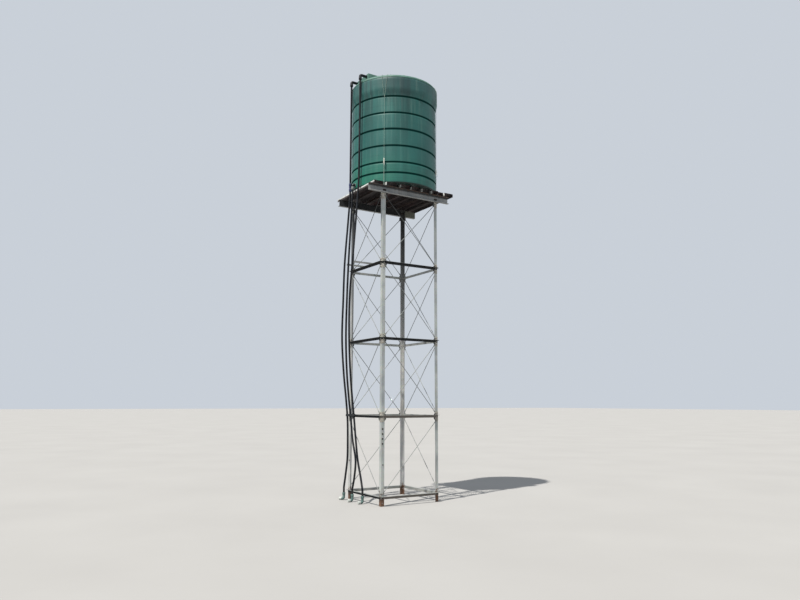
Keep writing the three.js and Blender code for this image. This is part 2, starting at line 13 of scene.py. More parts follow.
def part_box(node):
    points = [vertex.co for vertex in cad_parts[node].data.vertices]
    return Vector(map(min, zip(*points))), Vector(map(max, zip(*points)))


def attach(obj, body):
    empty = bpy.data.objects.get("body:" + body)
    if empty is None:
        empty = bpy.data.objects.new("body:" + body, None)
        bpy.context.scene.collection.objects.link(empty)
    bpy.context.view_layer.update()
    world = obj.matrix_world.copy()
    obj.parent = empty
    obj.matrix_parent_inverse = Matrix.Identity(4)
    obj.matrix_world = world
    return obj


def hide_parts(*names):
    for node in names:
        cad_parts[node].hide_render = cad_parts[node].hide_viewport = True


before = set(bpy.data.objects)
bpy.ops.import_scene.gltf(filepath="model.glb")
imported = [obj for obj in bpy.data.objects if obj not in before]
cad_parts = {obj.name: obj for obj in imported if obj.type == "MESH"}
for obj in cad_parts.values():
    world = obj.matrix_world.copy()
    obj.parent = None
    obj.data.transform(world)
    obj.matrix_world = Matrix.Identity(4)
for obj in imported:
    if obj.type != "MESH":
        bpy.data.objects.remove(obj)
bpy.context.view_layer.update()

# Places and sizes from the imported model

TANK_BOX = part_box("tank_wall")
AXIS = Vector(((TANK_BOX[0].x + TANK_BOX[1].x) / 2, (TANK_BOX[0].y + TANK_BOX[1].y) / 2, 0.0))


def local_box(node):
    """Corners of a node, measured from the tower's own axis."""
    low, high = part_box(node)
    return low - AXIS, high - AXIS


def half_width(node):
    low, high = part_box(node)
    return (high.x - low.x) / 2


GAP = 0.0003
HALF = -local_box("leg_front_left")[0].x
FACE = HALF + GAP
LEG_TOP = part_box("leg_front_left")[1].z
LEG_FLANGE = 0.070
LEG_THICKNESS = 0.006
BRACE_FLANGE = 0.050
BRACE_THICKNESS = 0.005
BAY = 1.5
LEVEL_1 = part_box("base_brace_front")[1].z
LEVELS = [LEVEL_1 + BAY * count for count in range(4)]
BEAM_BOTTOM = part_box("beam_front")[0].z
BEAM_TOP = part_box("beam_front")[1].z
DECK_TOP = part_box("deck_channel_1")[1].z

WALL_SKIN = 0.018
RIM_RADIUS = half_width("tank_wall")
TANK_RADIUS = half_width("tank_floor") + 0.001 + WALL_SKIN
TANK_BOTTOM = TANK_BOX[0].z
WALL_TOP = TANK_BOX[1].z
ROOF_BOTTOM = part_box("tank_roof")[0].z
ROOF_SHOULDER = ROOF_BOTTOM + 0.058
NECK_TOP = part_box("tank_roof")[1].z
LID_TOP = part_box("tank_lid")[1].z
LID_RADIUS = half_width("tank_lid")
RIM_FOOT = 8.300
GROOVE_HEIGHTS = [6.493, 6.714, 7.060, 7.414, 7.764, 8.116]

# Small helpers


def add_object(name, data):
    added = bpy.data.objects.new(name, data)
    bpy.context.scene.collection.objects.link(added)
    return added


def held(value):
    """The value, held between 0 and 1."""
    return min(max(value, 0.0), 1.0)


# Camera, as fitted to the tower in the photograph

CAMERA_PLACE = Vector((-7.329, -11.962, 1.918))
CAMERA_TURN = math.radians(32.07)
CAMERA_PITCH = math.radians(8.59)
CAMERA_ROLL = math.radians(0.13)
FOCAL_PIXELS = 680.8
PHOTO_WIDTH = 800


def make_camera():
    data = bpy.data.cameras.new("camera")
    data.sensor_width = 36.0
    data.lens = data.sensor_width * FOCAL_PIXELS / PHOTO_WIDTH
    data.clip_end = 500.0
    camera = add_object("camera", data)
    turn = Matrix.Rotation(-CAMERA_TURN, 4, "Z")
    tilt = Matrix.Rotation(math.pi / 2 + CAMERA_PITCH, 4, "X")
    roll = Matrix.Rotation(CAMERA_ROLL, 4, "Z")
    camera.matrix_world = Matrix.Translation(CAMERA_PLACE + AXIS) @ turn @ tilt @ roll
    bpy.context.scene.camera = camera


make_camera()

# Shapes: each is a list of parts, and a part is its points, its faces and each face's material number


def prism(outline, place, start, end, kinds=0, cap=0):
    """Outline of (a, b) pairs carried from start to end. place(a, b, t) gives each point."""
    count = len(outline)
    points = [place(a, b, t) for t in (start, end) for a, b in outline]
    faces = [[i, (i + 1) % count, count + (i + 1) % count, count + i] for i in range(count)]
    faces += [list(range(count)), list(range(count, 2 * count))]
    sides = [kinds] * count if isinstance(kinds, int) else list(kinds)
    return [(points, faces, sides + [cap, cap])]


def tube(rings, kind=0, closed=False):
    """Skin over rings of points, with a flat end at each side unless it closes on itself."""
    count = len(rings[0])
    points = [point for ring in rings for point in ring]
    faces = []
    steps = len(rings) if closed else len(rings) - 1
    for step in range(steps):
        near = step * count
        far = ((step + 1) % len(rings)) * count
        for i in range(count):
            after = (i + 1) % count
            faces.append([near + i, near + after, far + after, far + i])
    if not closed:
        faces.append(list(range(count)))
        faces.append(list(range(len(points) - count, len(points))))
    return [(points, faces, [kind] * len(faces))]


def circle(count, radius_a, radius_b=None, power=1.0):
    """Outline of a circle or ellipse. A power under 1 squares it."""
    radius_b = radius_a if radius_b is None else radius_b

    def squared(value):
        return math.copysign(abs(value) ** power, value)

    turns = [2 * math.pi * i / count for i in range(count)]
    return [(radius_a * squared(math.cos(t)), radius_b * squared(math.sin(t))) for t in turns]


def carried_frames(path):
    """Side and up directions along a path, carried from one station to the next without twist."""
    neighbours = zip([path[0], *path[:-1]], [*path[1:], path[-1]])
    ways = [(after - before).normalized() for before, after in neighbours]
    helper = Vector((0, 0, 1)) if abs(ways[0].z) < 0.9 else Vector((1, 0, 0))
    side = ways[0].cross(helper).normalized()
    frames = []
    for way in ways:
        side = (side - way * side.dot(way)).normalized()
        frames.append((side, way.cross(side)))
    return frames


def swept(path, outlines):
    """Outlines of (a, b) pairs along a path: one for all its stations, or one for each."""
    if isinstance(outlines[0][0], float):
        outlines = [outlines] * len(path)
    rings = []
    for point, (side, up), outline in zip(path, carried_frames(path), outlines):
        rings.append([point + side * a + up * b for a, b in outline])
    return tube(rings)


def lathe_rings(profile, sides, wave=None, place=Matrix.Identity(4)):
    """Rings from a profile of (radius, height). wave(angle, radius, height) adds to the radius."""
    rings = []
    for radius, height in profile:
        ring = []
        for i in range(sides):
            angle = 2 * math.pi * i / sides
            reach = radius + (wave(angle, radius, height) if wave else 0.0)
            ring.append(place @ Vector((reach * math.cos(angle), reach * math.sin(angle), height)))
        rings.append(ring)
    return rings


def turned(profile, sides, place=Matrix.Identity(4), kind=0, wave=None):
    """Profile turned about the local Z axis; its first and last point are on it."""
    rings = lathe_rings(profile[1:-1], sides, wave, place)
    points, faces, _ = tube(rings, kind)[0]
    faces = faces[:-2]
    for end, height in ((0, profile[0][1]), (len(rings) - 1, profile[-1][1])):
        points.append(place @ Vector((0, 0, height)))
        start = end * sides
        faces += [[start + i, start + (i + 1) % sides, len(points) - 1] for i in range(sides)]
    return [(points, faces, [kind] * len(faces))]


def moved(parts, matrix):
    return [([matrix @ Vector(point) for point in points], faces, kinds) for points, faces, kinds in parts]


ARC_STEPS = 4


def arc(centre_a, centre_b, radius, start, end):
    """Points of an arc, with its angles in degrees."""
    points = []
    for step in range(ARC_STEPS + 1):
        angle = math.radians(start + (end - start) * step / ARC_STEPS)
        points.append((centre_a + radius * math.cos(angle), centre_b + radius * math.sin(angle)))
    return points


def dress(node, look, parts, materials, sharp=35):
    """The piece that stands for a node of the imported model, from parts in tower coordinates."""
    points, faces, kinds = [], [], []
    for part_points, part_faces, part_kinds in parts:
        start = len(points)
        points.extend(Vector(point) + AXIS for point in part_points)
        faces.extend([start + i for i in face] for face in part_faces)
        kinds.extend(part_kinds)
    name = f"{node}_{look}"
    mesh = bpy.data.meshes.new(name)
    mesh.from_pydata(points, [], faces)
    mesh.polygons.foreach_set("material_index", kinds)
    for material in materials:
        mesh.materials.append(material)
    build = bmesh.new()
    build.from_mesh(mesh)
    bmesh.ops.recalc_face_normals(build, faces=build.faces)
    build.to_mesh(mesh)
    build.free()
    mesh.shade_smooth()
    mesh.set_sharp_from_angle(angle=math.radians(sharp))
    piece = add_object(name, mesh)
    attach(piece, "root")
    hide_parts(node)


# Materials: colours are the 0 to 255 values that a screen shows


def tone(red, green, blue):
    """The shader's own colour values."""
    def linear(value):
        share = value / 255
        return share / 12.92 if share <= 0.04045 else ((share + 0.055) / 1.055) ** 2.4
    return linear(red), linear(green), linear(blue), 1.0


RUST_DARK = (62, 46, 37)
RUST_LIGHT = (116, 84, 62)
# Painted shade: the dark of steel lying in shade under a flange, the deck or the tank
PAINTED_SHADE = (34, 37, 40)


class Value:
    """A node's output; sums with it make further nodes."""

    def __init__(self, finish, socket):
        self.finish = finish
        self.socket = socket

    def __add__(self, other):
        return self.finish.math("ADD", self, other)

    def __sub__(self, other):
        return self.finish.math("SUBTRACT", self, other)

    def __mul__(self, other):
        return self.finish.math("MULTIPLY", self, other)

    def __abs__(self):
        return self.finish.math("ABSOLUTE", self)

    def span(self, low, high, to_low=0.0, to_high=1.0):
        """The value's way from low to high, eased and held at its ends."""
        inputs = {"Value": self, "From Min": low, "From Max": high, "To Min": to_low, "To Max": to_high}
        return self.finish.node("ShaderNodeMapRange", inputs, "Result", interpolation_type="SMOOTHSTEP")

    def ramp(self, *stops):
        """Colours, each at its own place."""
        colour = self.finish.node("ShaderNodeValToRGB", {"Fac": self}, "Color")
        band = colour.socket.node.color_ramp
        while len(band.elements) < len(stops):
            band.elements.new(0.5)
        for element, (place, screen_colour) in zip(band.elements, stops):
            element.position = place
            element.color = tone(*screen_colour)
        return colour


class Finish:
    """A material, with short calls for the nodes it uses. Its colour is built up in coats."""

    def __init__(self, name, roughness=0.5, specular=0.5):
        self.material = bpy.data.materials.new(name)
        self.material.use_nodes = True
        self.tree = self.material.node_tree
        self.shader = self.tree.nodes["Principled BSDF"]
        self.shade("Roughness", roughness)
        self.shade("Specular IOR Level", specular)
        place = self.node("ShaderNodeTexCoord", {}, "Object")
        self.place = self.node("ShaderNodeVectorMath", {0: place, 1: AXIS}, "Vector", operation="SUBTRACT")
        self.x, self.y, self.z = (self.node("ShaderNodeSeparateXYZ", {0: self.place}, way) for way in "XYZ")

    def join(self, value, socket):
        if isinstance(value, Value):
            self.tree.links.new(value.socket, socket)
        else:
            socket.default_value = value

    def node(self, kind, inputs, output, **settings):
        """An output of a new node, whose inputs are constants or other nodes' outputs."""
        node = self.tree.nodes.new(kind)
        for key, value in settings.items():
            setattr(node, key, value)
        for key, value in inputs.items():
            self.join(value, node.inputs[key])
        return Value(self, node.outputs[output])

    def shade(self, socket, value):
        self.join(value, self.shader.inputs[socket])

    def noise(self, scale, detail=4.0, roughness=0.55, stretch=None):
        """Noise between 0 and 1. stretch multiplies the place in each direction."""
        place = self.place
        if stretch:
            place = self.node("ShaderNodeVectorMath", {0: place, 1: stretch}, "Vector", operation="MULTIPLY")
        inputs = {"Vector": place, "Scale": scale, "Detail": detail, "Roughness": roughness}
        return self.node("ShaderNodeTexNoise", inputs, "Fac")

    def math(self, operation, a, b=0.0, clamp=False):
        return self.node("ShaderNodeMath", {0: a, 1: b}, "Value", operation=operation, use_clamp=clamp)

    def ground(self, colour):
        """The first coat."""
        self.top_coat = tone(*colour) if isinstance(colour, tuple) else colour
        self.shade("Base Color", self.top_coat)

    def coat(self, share, colour, blend="MIX"):
        """A further coat, as thick as its share."""
        below = self.top_coat
        self.ground(colour)
        inputs = {0: share, 6: below, 7: self.top_coat}
        self.ground(self.node("ShaderNodeMix", inputs, 2, data_type="RGBA", blend_type=blend))

    def rust(self, share, scale, detail=5, roughness=0.55, light=0.7):
        """A coat of rust, dark and light in patches."""
        self.coat(share, self.noise(scale, detail, roughness).ramp((0.35, RUST_DARK), (light, RUST_LIGHT)))

    def bump(self, height, distance, strength=1.0):
        inputs = {"Height": height, "Distance": distance, "Strength": strength}
        self.shade("Normal", self.node("ShaderNodeBump", inputs, "Normal"))
        return self.material


def zinc_finish(name, pale, dull, rust_height, rust_share=0.0, shade_from=None, dark_inside=False):
    """Weathered zinc: spangle, chalky streaks and rust that starts from the feet and in small spots.

    Above shade_from it darkens towards the deck with painted shade. dark_inside paints shade on what reaches
    past the legs' flanges.
    """
    mat = Finish(name)
    mat.ground(mat.noise(2.2, 5, 0.6).ramp((0.32, dull), (0.62, pale)))
    spangle = mat.node("ShaderNodeTexVoronoi", {"Vector": mat.place, "Scale": 70}, "Color")
    mat.coat(0.07, spangle, "OVERLAY")
    streaks = mat.noise(30, 4, 0.6, (1, 1, 0.05))
    mat.coat(streaks.span(0.5, 0.72, 0.0, 0.45), (128, 124, 114))
    if shade_from:
        # Painted shade of the deck and tank, deepening upward
        mat.coat(mat.z.span(shade_from, BEAM_BOTTOM, 0.0, 0.9), PAINTED_SHADE)
    if dark_inside:
        inward = mat.math("MINIMUM", abs(mat.x), abs(mat.y))
        # Painted shade on the plates past the legs' flanges
        mat.coat(inward.span(HALF - 0.062, HALF - 0.070, 0.0, 0.9), PAINTED_SHADE)
    low_rust = (mat.noise(14, 6, 0.7) + mat.z.span(rust_height, 0.0) * 0.45).span(0.72, 0.86)
    spots = mat.noise(38, 5, 0.65).span(0.66 - rust_share, 0.78 - rust_share)
    rust = mat.math("MAXIMUM", low_rust, spots * 0.8)
    mat.rust(rust, 55, 5, 0.7, 0.65)
    mat.shade("Metallic", rust.span(0.0, 0.6, 0.35, 0.0))
    mat.shade("Roughness", rust.span(0.0, 1.0, 0.5, 0.85) + streaks * 0.1)
    return mat.bump(mat.noise(160, 4, 0.6) * 0.3 + rust * 0.7, 0.0012)


def dark_steel_and_shade_finish(name, pale_ends=False):
    """Dark mottled steel with thin rust: painted shade on steel under a flange or the deck, and the pipe
    tie's own dark.

    The painted shade is lighter on the low braces of the front. pale_ends lifts it from what reaches past
    the right legs, out of the deck's shade.
    """
    mat = Finish(name, roughness=0.8, specular=0.3)
    # Dark mottled ground: painted shade where this steel lies in shade; on the pipe tie, its own dark
    mat.ground(mat.noise(6, 5, 0.6).ramp((0.3, (22, 25, 28)), (0.7, (44, 46, 48))))
    in_front = mat.y.span(0.02 - HALF, -HALF)
    low_down = mat.z.span(LEVELS[1] + 0.3, LEVELS[1] + 0.1, 0.0, 0.7)
    # Painted shade made lighter on the low front braces
    mat.coat(in_front * low_down, (124, 118, 112))
    if pale_ends:
        # Past the right legs, out of the deck's shade: painted shade lifted
        mat.coat(mat.x.span(HALF + 0.01, HALF + 0.06, 0.0, 0.8), (104, 106, 96))
    mat.coat(mat.noise(24, 6, 0.7).span(0.58, 0.74, 0.0, 0.5), RUST_DARK)
    return mat.bump(mat.noise(120, 4, 0.6), 0.0008)


def beam_finish():
    """The beams' outer faces: zinc, pale below; painted shadow of the top flange on the web's upper part,
    and rust under the flange.
    """
    mat = Finish("beam_zinc", roughness=0.6)
    mat.ground(mat.noise(4, 5, 0.6).ramp((0.3, (112, 116, 118)), (0.65, (146, 148, 147))))
    runs = mat.noise(26, 5, 0.6, (1, 1, 0.08))
    mat.coat(runs.span(0.5, 0.7, 0.0, 0.5), (104, 98, 90))
    # Painted shadow of the top flange on the web's upper part, with a streaky edge
    edge = mat.z + runs * 0.03
    mat.coat(edge.span(BEAM_BOTTOM + 0.105, BEAM_BOTTOM + 0.130, 0.0, 0.85), PAINTED_SHADE)
    under_flange = mat.z.span(BEAM_TOP - 0.014, BEAM_TOP - 0.006, 0.0, 0.2)
    rust = (mat.noise(20, 6, 0.7) + under_flange).span(0.62, 0.74)
    mat.rust(rust, 55)
    mat.shade("Metallic", rust.span(0.0, 0.6, 0.2, 0.0))
    return mat.bump(mat.noise(130, 4, 0.6), 0.001)


def deck_outer_finish():
    """The outer faces of the deck channels: dark and rusty, made pale by painted light on the deck's left
    rim and front ends.
    """
    mat = Finish("deck_outer")
    patches = mat.noise(3.0, 6, 0.65, (1, 0.35, 1))
    left, front = local_box("deck_channel_1")[0].x, local_box("deck_channel_4")[0].y
    on_left = mat.x.span(left + 0.03, left + 0.01)
    near_top = mat.z.span(DECK_TOP - 0.036, DECK_TOP - 0.026)
    in_front = mat.y.span(front + 0.11, front + 0.04)
    front_rim = mat.math("SUBTRACT", in_front, on_left, clamp=True)
    mat.ground(patches.ramp((0.3, (34, 29, 28)), (0.6, (62, 50, 46))))
    # Painted light: pale where sun and sky light the left rim's top and the channels' front ends
    painted_light_tone = patches.ramp((0.3, (132, 136, 134)), (0.6, (196, 199, 196)))
    mat.coat(mat.math("MAXIMUM", on_left * near_top, front_rim), painted_light_tone)
    wear = mat.noise(24, 6, 0.7, (1, 0.4, 1))
    rust = wear.span(0.56, 0.68)
    mat.rust(rust, 60)
    mat.shade("Roughness", rust.span(0.0, 1.0, 0.5, 0.88))
    return mat.bump(wear, 0.0015)


def deck_inner_finish():
    """The inner faces and cut ends: dark red-brown primer, dusty and rusted through in places."""
    mat = Finish("deck_inner", roughness=0.8)
    patches = mat.noise(5.0, 6, 0.65, (1, 0.3, 1))
    mat.ground(patches.ramp((0.3, (18, 16, 18)), (0.52, (34, 26, 28)), (0.72, (62, 36, 38))))
    mat.coat(mat.noise(18, 5, 0.6).span(0.55, 0.75, 0.0, 0.2), (112, 92, 78))
    return mat.bump(mat.noise(90, 5, 0.65), 0.0012)


def tank_finish():
    """Moulded green plastic: faded and streaked from the top, fresher at the foot; painted shade in the
    grooves and on the rounded foot.
    """
    mat = Finish("tank_plastic")
    broad = mat.noise(1.3, 4, 0.55, (1, 1, 0.5))
    mat.ground(broad.ramp((0.3, (28, 78, 74)), (0.55, (36, 92, 87)), (0.75, (50, 106, 98))))
    fresh = mat.z.span(TANK_BOTTOM + 0.75, TANK_BOTTOM + 0.05)
    mat.coat(fresh * mat.x.span(-0.3, -0.8, 0.25, 0.7), (24, 106, 84))

    upper = mat.z.span(TANK_BOTTOM + 0.7, WALL_TOP, 0.25, 1.0)
    fine = mat.noise(16, 5, 0.6, (1, 1, 0.035))
    chalk = fine.span(0.5, 0.68) * upper
    mat.coat(chalk * 0.42, (104, 132, 124))
    grime = mat.noise(5.5, 4, 0.55, (1, 1, 0.06)).span(0.5, 0.66) * upper
    mat.coat(grime * 0.6, (34, 52, 52))
    mat.coat(mat.z.span(WALL_TOP - 0.42, WALL_TOP - 0.05, 0.0, 0.4), (54, 76, 78))

    # A stain in the top band, on the side between the front and the left
    sideways = mat.x * 0.85 - mat.y * 0.53 - 0.05
    stained = abs(sideways).span(0.45, 0.15, 0.0, 0.5) * upper
    top_band = mat.z.span(GROOVE_HEIGHTS[-1] - 0.25, GROOVE_HEIGHTS[-1] + 0.1)
    mat.coat(stained * top_band, (26, 48, 52))
    lines = mat.noise(1.0, 3, 0.7, (0.4, 0.4, 70))
    mat.coat(lines.span(0.5, 0.7, 0.0, 0.3), (26, 58, 58))
    # Painted shade, near black, on the rounded foot and the floor below it
    mat.coat(mat.z.span(TANK_BOTTOM + 0.034, TANK_BOTTOM + 0.014, 0.0, 0.9), (12, 18, 19))
    mat.coat(mat.noise(90, 3, 0.6).span(0.62, 0.74, 0.0, 0.25), (112, 124, 116))

    nearest = abs(mat.z - GROOVE_HEIGHTS[0])
    for height in GROOVE_HEIGHTS[1:]:
        nearest = mat.math("MINIMUM", nearest, abs(mat.z - height))
    # Painted shade in the grooves, wide enough to cover the lit lower lip
    groove_shade = nearest.span(0.028, 0.018)
    mat.coat(groove_shade * 0.88, (10, 44, 41))
    mat.shade("Roughness", chalk.span(0.0, 1.0, 0.4, 0.62) + fine * 0.1 + groove_shade * 0.4)
    mat.shade("Specular IOR Level", groove_shade.span(0.0, 1.0, 0.4, 0.0))
    return mat.bump(mat.noise(120, 3, 0.5) * 0.06 + mat.noise(3.5, 2, 0.4), 0.006, 0.6)


def roof_finish():
    """The same plastic on the roof and lid, bleached and dusty in patches."""
    mat = Finish("roof_plastic", roughness=0.6, specular=0.35)
    mat.ground(mat.noise(4.0, 5, 0.6).ramp((0.3, (44, 86, 76)), (0.6, (72, 108, 98))))
    mat.coat(mat.noise(11, 6, 0.7).span(0.5, 0.7, 0.0, 0.5), (118, 130, 120))
    mat.coat(mat.noise(60).span(0.62, 0.76, 0.0, 0.5), (66, 74, 62))
    return mat.bump(mat.noise(120, 3, 0.5), 0.001)


def pipe_finish():
    """Black polyethylene: satin, with dust and long scuffs; its faint blue is a painted reflection of the
    sky.
    """
    mat = Finish("pipe_black", specular=0.3)
    scuffs = mat.noise(60, 4, 0.6, (1, 1, 0.06))
    # The faint blue in the black and in the scuffs, which are real wear, is a painted reflection of the sky
    mat.ground((8, 11, 18))
    mat.coat(scuffs.span(0.52, 0.7, 0.0, 0.2), (40, 46, 60))
    mat.coat(mat.noise(9, 5, 0.6).span(0.5, 0.72, 0.0, 0.1), (120, 112, 98))
    mat.shade("Roughness", scuffs.span(0.4, 0.7, 0.3, 0.52))
    return mat.bump(scuffs, 0.0004)


def moulded_finish(name, colour, faded, roughness=0.55):
    """Small moulded fittings: one colour, faded unevenly, with dust in patches."""
    mat = Finish(name, roughness)
    mat.ground(mat.noise(22, 4, 0.6).ramp((0.35, colour), (0.7, faded)))
    mat.coat(mat.noise(70, 5, 0.65).span(0.56, 0.74, 0.0, 0.45), (134, 120, 98))
    return mat.bump(mat.noise(180, 3, 0.5), 0.0005)


def bolt_finish(name, pale, rust_share):
    mat = Finish(name)
    rust = mat.noise(45, 5, 0.7).span(0.62 - rust_share, 0.74 - rust_share)
    mat.ground(pale)
    mat.rust(rust, 120, 4)
    mat.shade("Metallic", rust.span(0.0, 1.0, 0.5, 0.05))
    mat.shade("Roughness", rust.span(0.0, 1.0, 0.42, 0.9))
    return mat.bump(mat.noise(260, 4, 0.6), 0.0006)


KNOT_HEIGHT = 6.72


def rope_finish():
    mat = Finish("rope_fibre", roughness=0.9, specular=0.2)
    fibres = mat.noise(420, 3, 0.6, (1, 1, 0.3))
    mat.ground(fibres.ramp((0.35, (104, 124, 116)), (0.65, (148, 164, 154))))
    mat.coat(mat.noise(6).span(0.5, 0.7, 0.0, 0.4), (96, 108, 98))
    mat.coat(abs(mat.z - KNOT_HEIGHT).span(0.09, 0.06), (220, 222, 212))
    return mat.bump(fibres, 0.0006)


def floor_finish():
    mat = Finish("studio_floor", roughness=0.9, specular=0.2)
    mat.ground(mat.noise(0.4, 3, 0.5).ramp((0.3, (147, 146, 144)), (0.7, (151, 150, 148))))
    return mat.material


LEG_ZINC = zinc_finish("leg_zinc", (176, 180, 176), (140, 146, 148), 0.5)
# The back legs: paler zinc as painted light for their sunlit lower parts, and painted shade from 2 m up
# towards the deck
BACK_LEG_LIT_AND_SHADED_ZINC = zinc_finish("back_leg_lit_and_shaded_zinc", (192, 192, 188), (160, 162, 162), 0.5, shade_from=2.0)
BRACE_ZINC = zinc_finish("brace_zinc", (150, 152, 148), (116, 119, 118), 0.25, 0.03)
# The rods darken from 5 m up with painted shade of the deck
ROD_ZINC = zinc_finish("rod_zinc", (126, 130, 128), (94, 98, 99), 0.25, 0.03, shade_from=5.0)
# The plates carry painted shade past the legs' flanges
PLATE_ZINC = zinc_finish("plate_zinc", (176, 172, 162), (142, 136, 128), 0.25, 0.06, dark_inside=True)
BEAM_ZINC = beam_finish()
# Painted shade for the hollows under the braces' flanges; also the pipe tie's own dark
DARK_STEEL_AND_SHADE = dark_steel_and_shade_finish("dark_steel_and_shade")
# The beams' inner faces: painted shade under the deck, lifted at the ends past the right legs
BEAM_INSIDE = dark_steel_and_shade_finish("beam_inside", pale_ends=True)
DECK_OUTER = deck_outer_finish()
DECK_INNER = deck_inner_finish()
TANK_PLASTIC = tank_finish()
ROOF_PLASTIC = roof_finish()
PIPE_BLACK = pipe_finish()
COUPLING_BLUE = moulded_finish("coupling_blue", (18, 24, 62), (38, 48, 96), 0.45)
FITTING_TEAL = moulded_finish("fitting_teal", (56, 80, 79), (94, 118, 113))
FITTING_WHITE = moulded_finish("fitting_white", (150, 156, 152), (186, 190, 185), 0.5)
FITTING_GREY = moulded_finish("fitting_grey", (84, 92, 92), (124, 130, 126))
BOLT_ZINC = bolt_finish("bolt_zinc", (150, 148, 140), 0.02)
BOLT_RUSTY = bolt_finish("bolt_rusty", (42, 37, 35), 0.06)
ROPE_FIBRE = rope_finish()

# Fasteners


def facing(centre, way):
    """Matrix whose local Z axis points the given way from a centre."""
    turn = Vector((0, 0, 1)).rotation_difference(Vector(way)).to_matrix().to_4x4()
    return Matrix.Translation(Vector(centre)) @ turn


def hex_nut(place, across, height, kind):
    radius = across / math.sqrt(3)
    chamfer = height * 0.2
    return turned([(0, 0), (radius, 0), (radius, height - chamfer), (radius - chamfer, height), (0, height)],
                  6, place, kind)


BOLT_KIND = 1
THREAD_PITCH = 0.002
THREAD_DEPTH = 0.0009
OUT, IN, UP = (0, -1, 0), (0, 1, 0), (0, 0, 1)


def bolt(centre, way, diameter, shank=0.0):
    """Hexagon head on a washer, its face at centre; a shank shows the threaded end past a nut instead."""
    place = facing(centre, way)
    washer = diameter * 0.18
    rim = diameter * 1.05
    parts = turned([(0, 0), (rim, 0), (rim, washer), (0, washer)], 20, place, BOLT_KIND)
    lift = place @ Matrix.Translation((0, 0, washer))
    parts += hex_nut(lift, diameter * 1.55, diameter * 0.66, BOLT_KIND)
    if shank:
        radius = diameter / 2
        top = diameter * 0.66 + shank
        threads = []
        for step in range(int(shank / THREAD_PITCH) + 1):
            height = diameter * 0.6 + step * THREAD_PITCH
            threads += [(radius, height), (radius - THREAD_DEPTH, height + THREAD_PITCH / 2)]
        parts += turned([(0, 0), *threads, (radius - 0.001, top), (0, top)], 12, lift, BOLT_KIND)
    return parts


# Steel sections, drawn for the front side or its left corner and turned to the others

SIDES = {"front": 0.0, "right": math.pi / 2, "back": math.pi, "left": -math.pi / 2}
CORNERS = {"front_left": 0.0, "front_right": math.pi / 2, "back_right": math.pi, "back_left": -math.pi / 2}


def rolled_angle(flange, thickness, root, toe):
    """Equal angle with its heel at (0, 0): rounded in its root and at its toes."""
    outline = [(0.0, 0.0), (flange, 0.0)]
    outline += arc(flange - toe, thickness - toe, toe, 0, 90)
    outline += arc(thickness + root, thickness + root, root, 270, 180)
    outline += arc(thickness - toe, flange - toe, toe, 0, 90)
    outline += [(0.0, flange)]
    return outline


LEG_OUTLINE = rolled_angle(LEG_FLANGE, LEG_THICKNESS, 0.009, 0.0045)
BRACE_OUTLINE = rolled_angle(BRACE_FLANGE, BRACE_THICKNESS, 0.007, 0.0035)
# The top, its edge and the inside take the brace's zinc; the hollow under the flange takes painted shade
BRACE_KINDS = [0, 0, 0] + [2] * (len(BRACE_OUTLINE) - 4) + [0]
GUSSET_THICKNESS = 0.0042
PLATE_FACE = -FACE - GUSSET_THICKNESS
INNER_FACE = -HALF + LEG_THICKNESS
SPLICE_BOLT_INSET = 0.028
SPLICE_BOLT_HEIGHTS = (1.150, 1.242, 1.334, 1.426)
FOOT_BOLT_INSET = 0.038
FOOT_BOLT_HEIGHT = 0.760
BRACE_BOLT_INSET = 0.034
BRACE_BOLT_DROP = 0.029
SMALL_BOLT = 0.012
SPLICE_BOLT = 0.016
BEAM_BOLT = 0.020


def through_bolt(x, z, face, diameter, shank):
    """Bolt through a leg: its head outside, on a face at that depth, and its nut inside."""
    return bolt((x, face, z), OUT, diameter) + bolt((x, INNER_FACE, z), IN, diameter, shank)


def leg_parts(with_splice):
    parts = prism(LEG_OUTLINE, lambda a, b, t: (-HALF + a, -HALF + b, t), 0.0, LEG_TOP)
    if with_splice:
        for height in SPLICE_BOLT_HEIGHTS:
            parts += through_bolt(SPLICE_BOLT_INSET - HALF, height, -HALF, SPLICE_BOLT, 0.01)
    return parts + bolt((FOOT_BOLT_INSET - HALF, -HALF, FOOT_BOLT_HEIGHT), OUT, SMALL_BOLT)


def brace_parts(level):
    parts = prism(BRACE_OUTLINE, lambda a, b, t: (t, -FACE - a, level - b), -HALF, HALF, BRACE_KINDS)
    for side in (-1, 1):
        x = side * (HALF - BRACE_BOLT_INSET)
        parts += through_bolt(x, level - BRACE_BOLT_DROP, -FACE - BRACE_THICKNESS, SMALL_BOLT, 0.008)
    return parts


def gusset_parts(side, low, high):
    width, waist, share = 0.100, 0.055, 0.3
    corner = (high - low) * share
    outline = [(0.0, low), (waist, low), (width, low + corner),
               (width, high - corner), (waist, high), (0.0, high)]
    heel = side * HALF
    return prism(outline, lambda a, b, t: (heel - side * a, t, b), PLATE_FACE, -FACE - GAP, 3, 3)


def plate_bolt(side, height):
    return bolt((side * (HALF - PLATE_BOLT_INSET), PLATE_FACE, height), OUT, SMALL_BOLT)


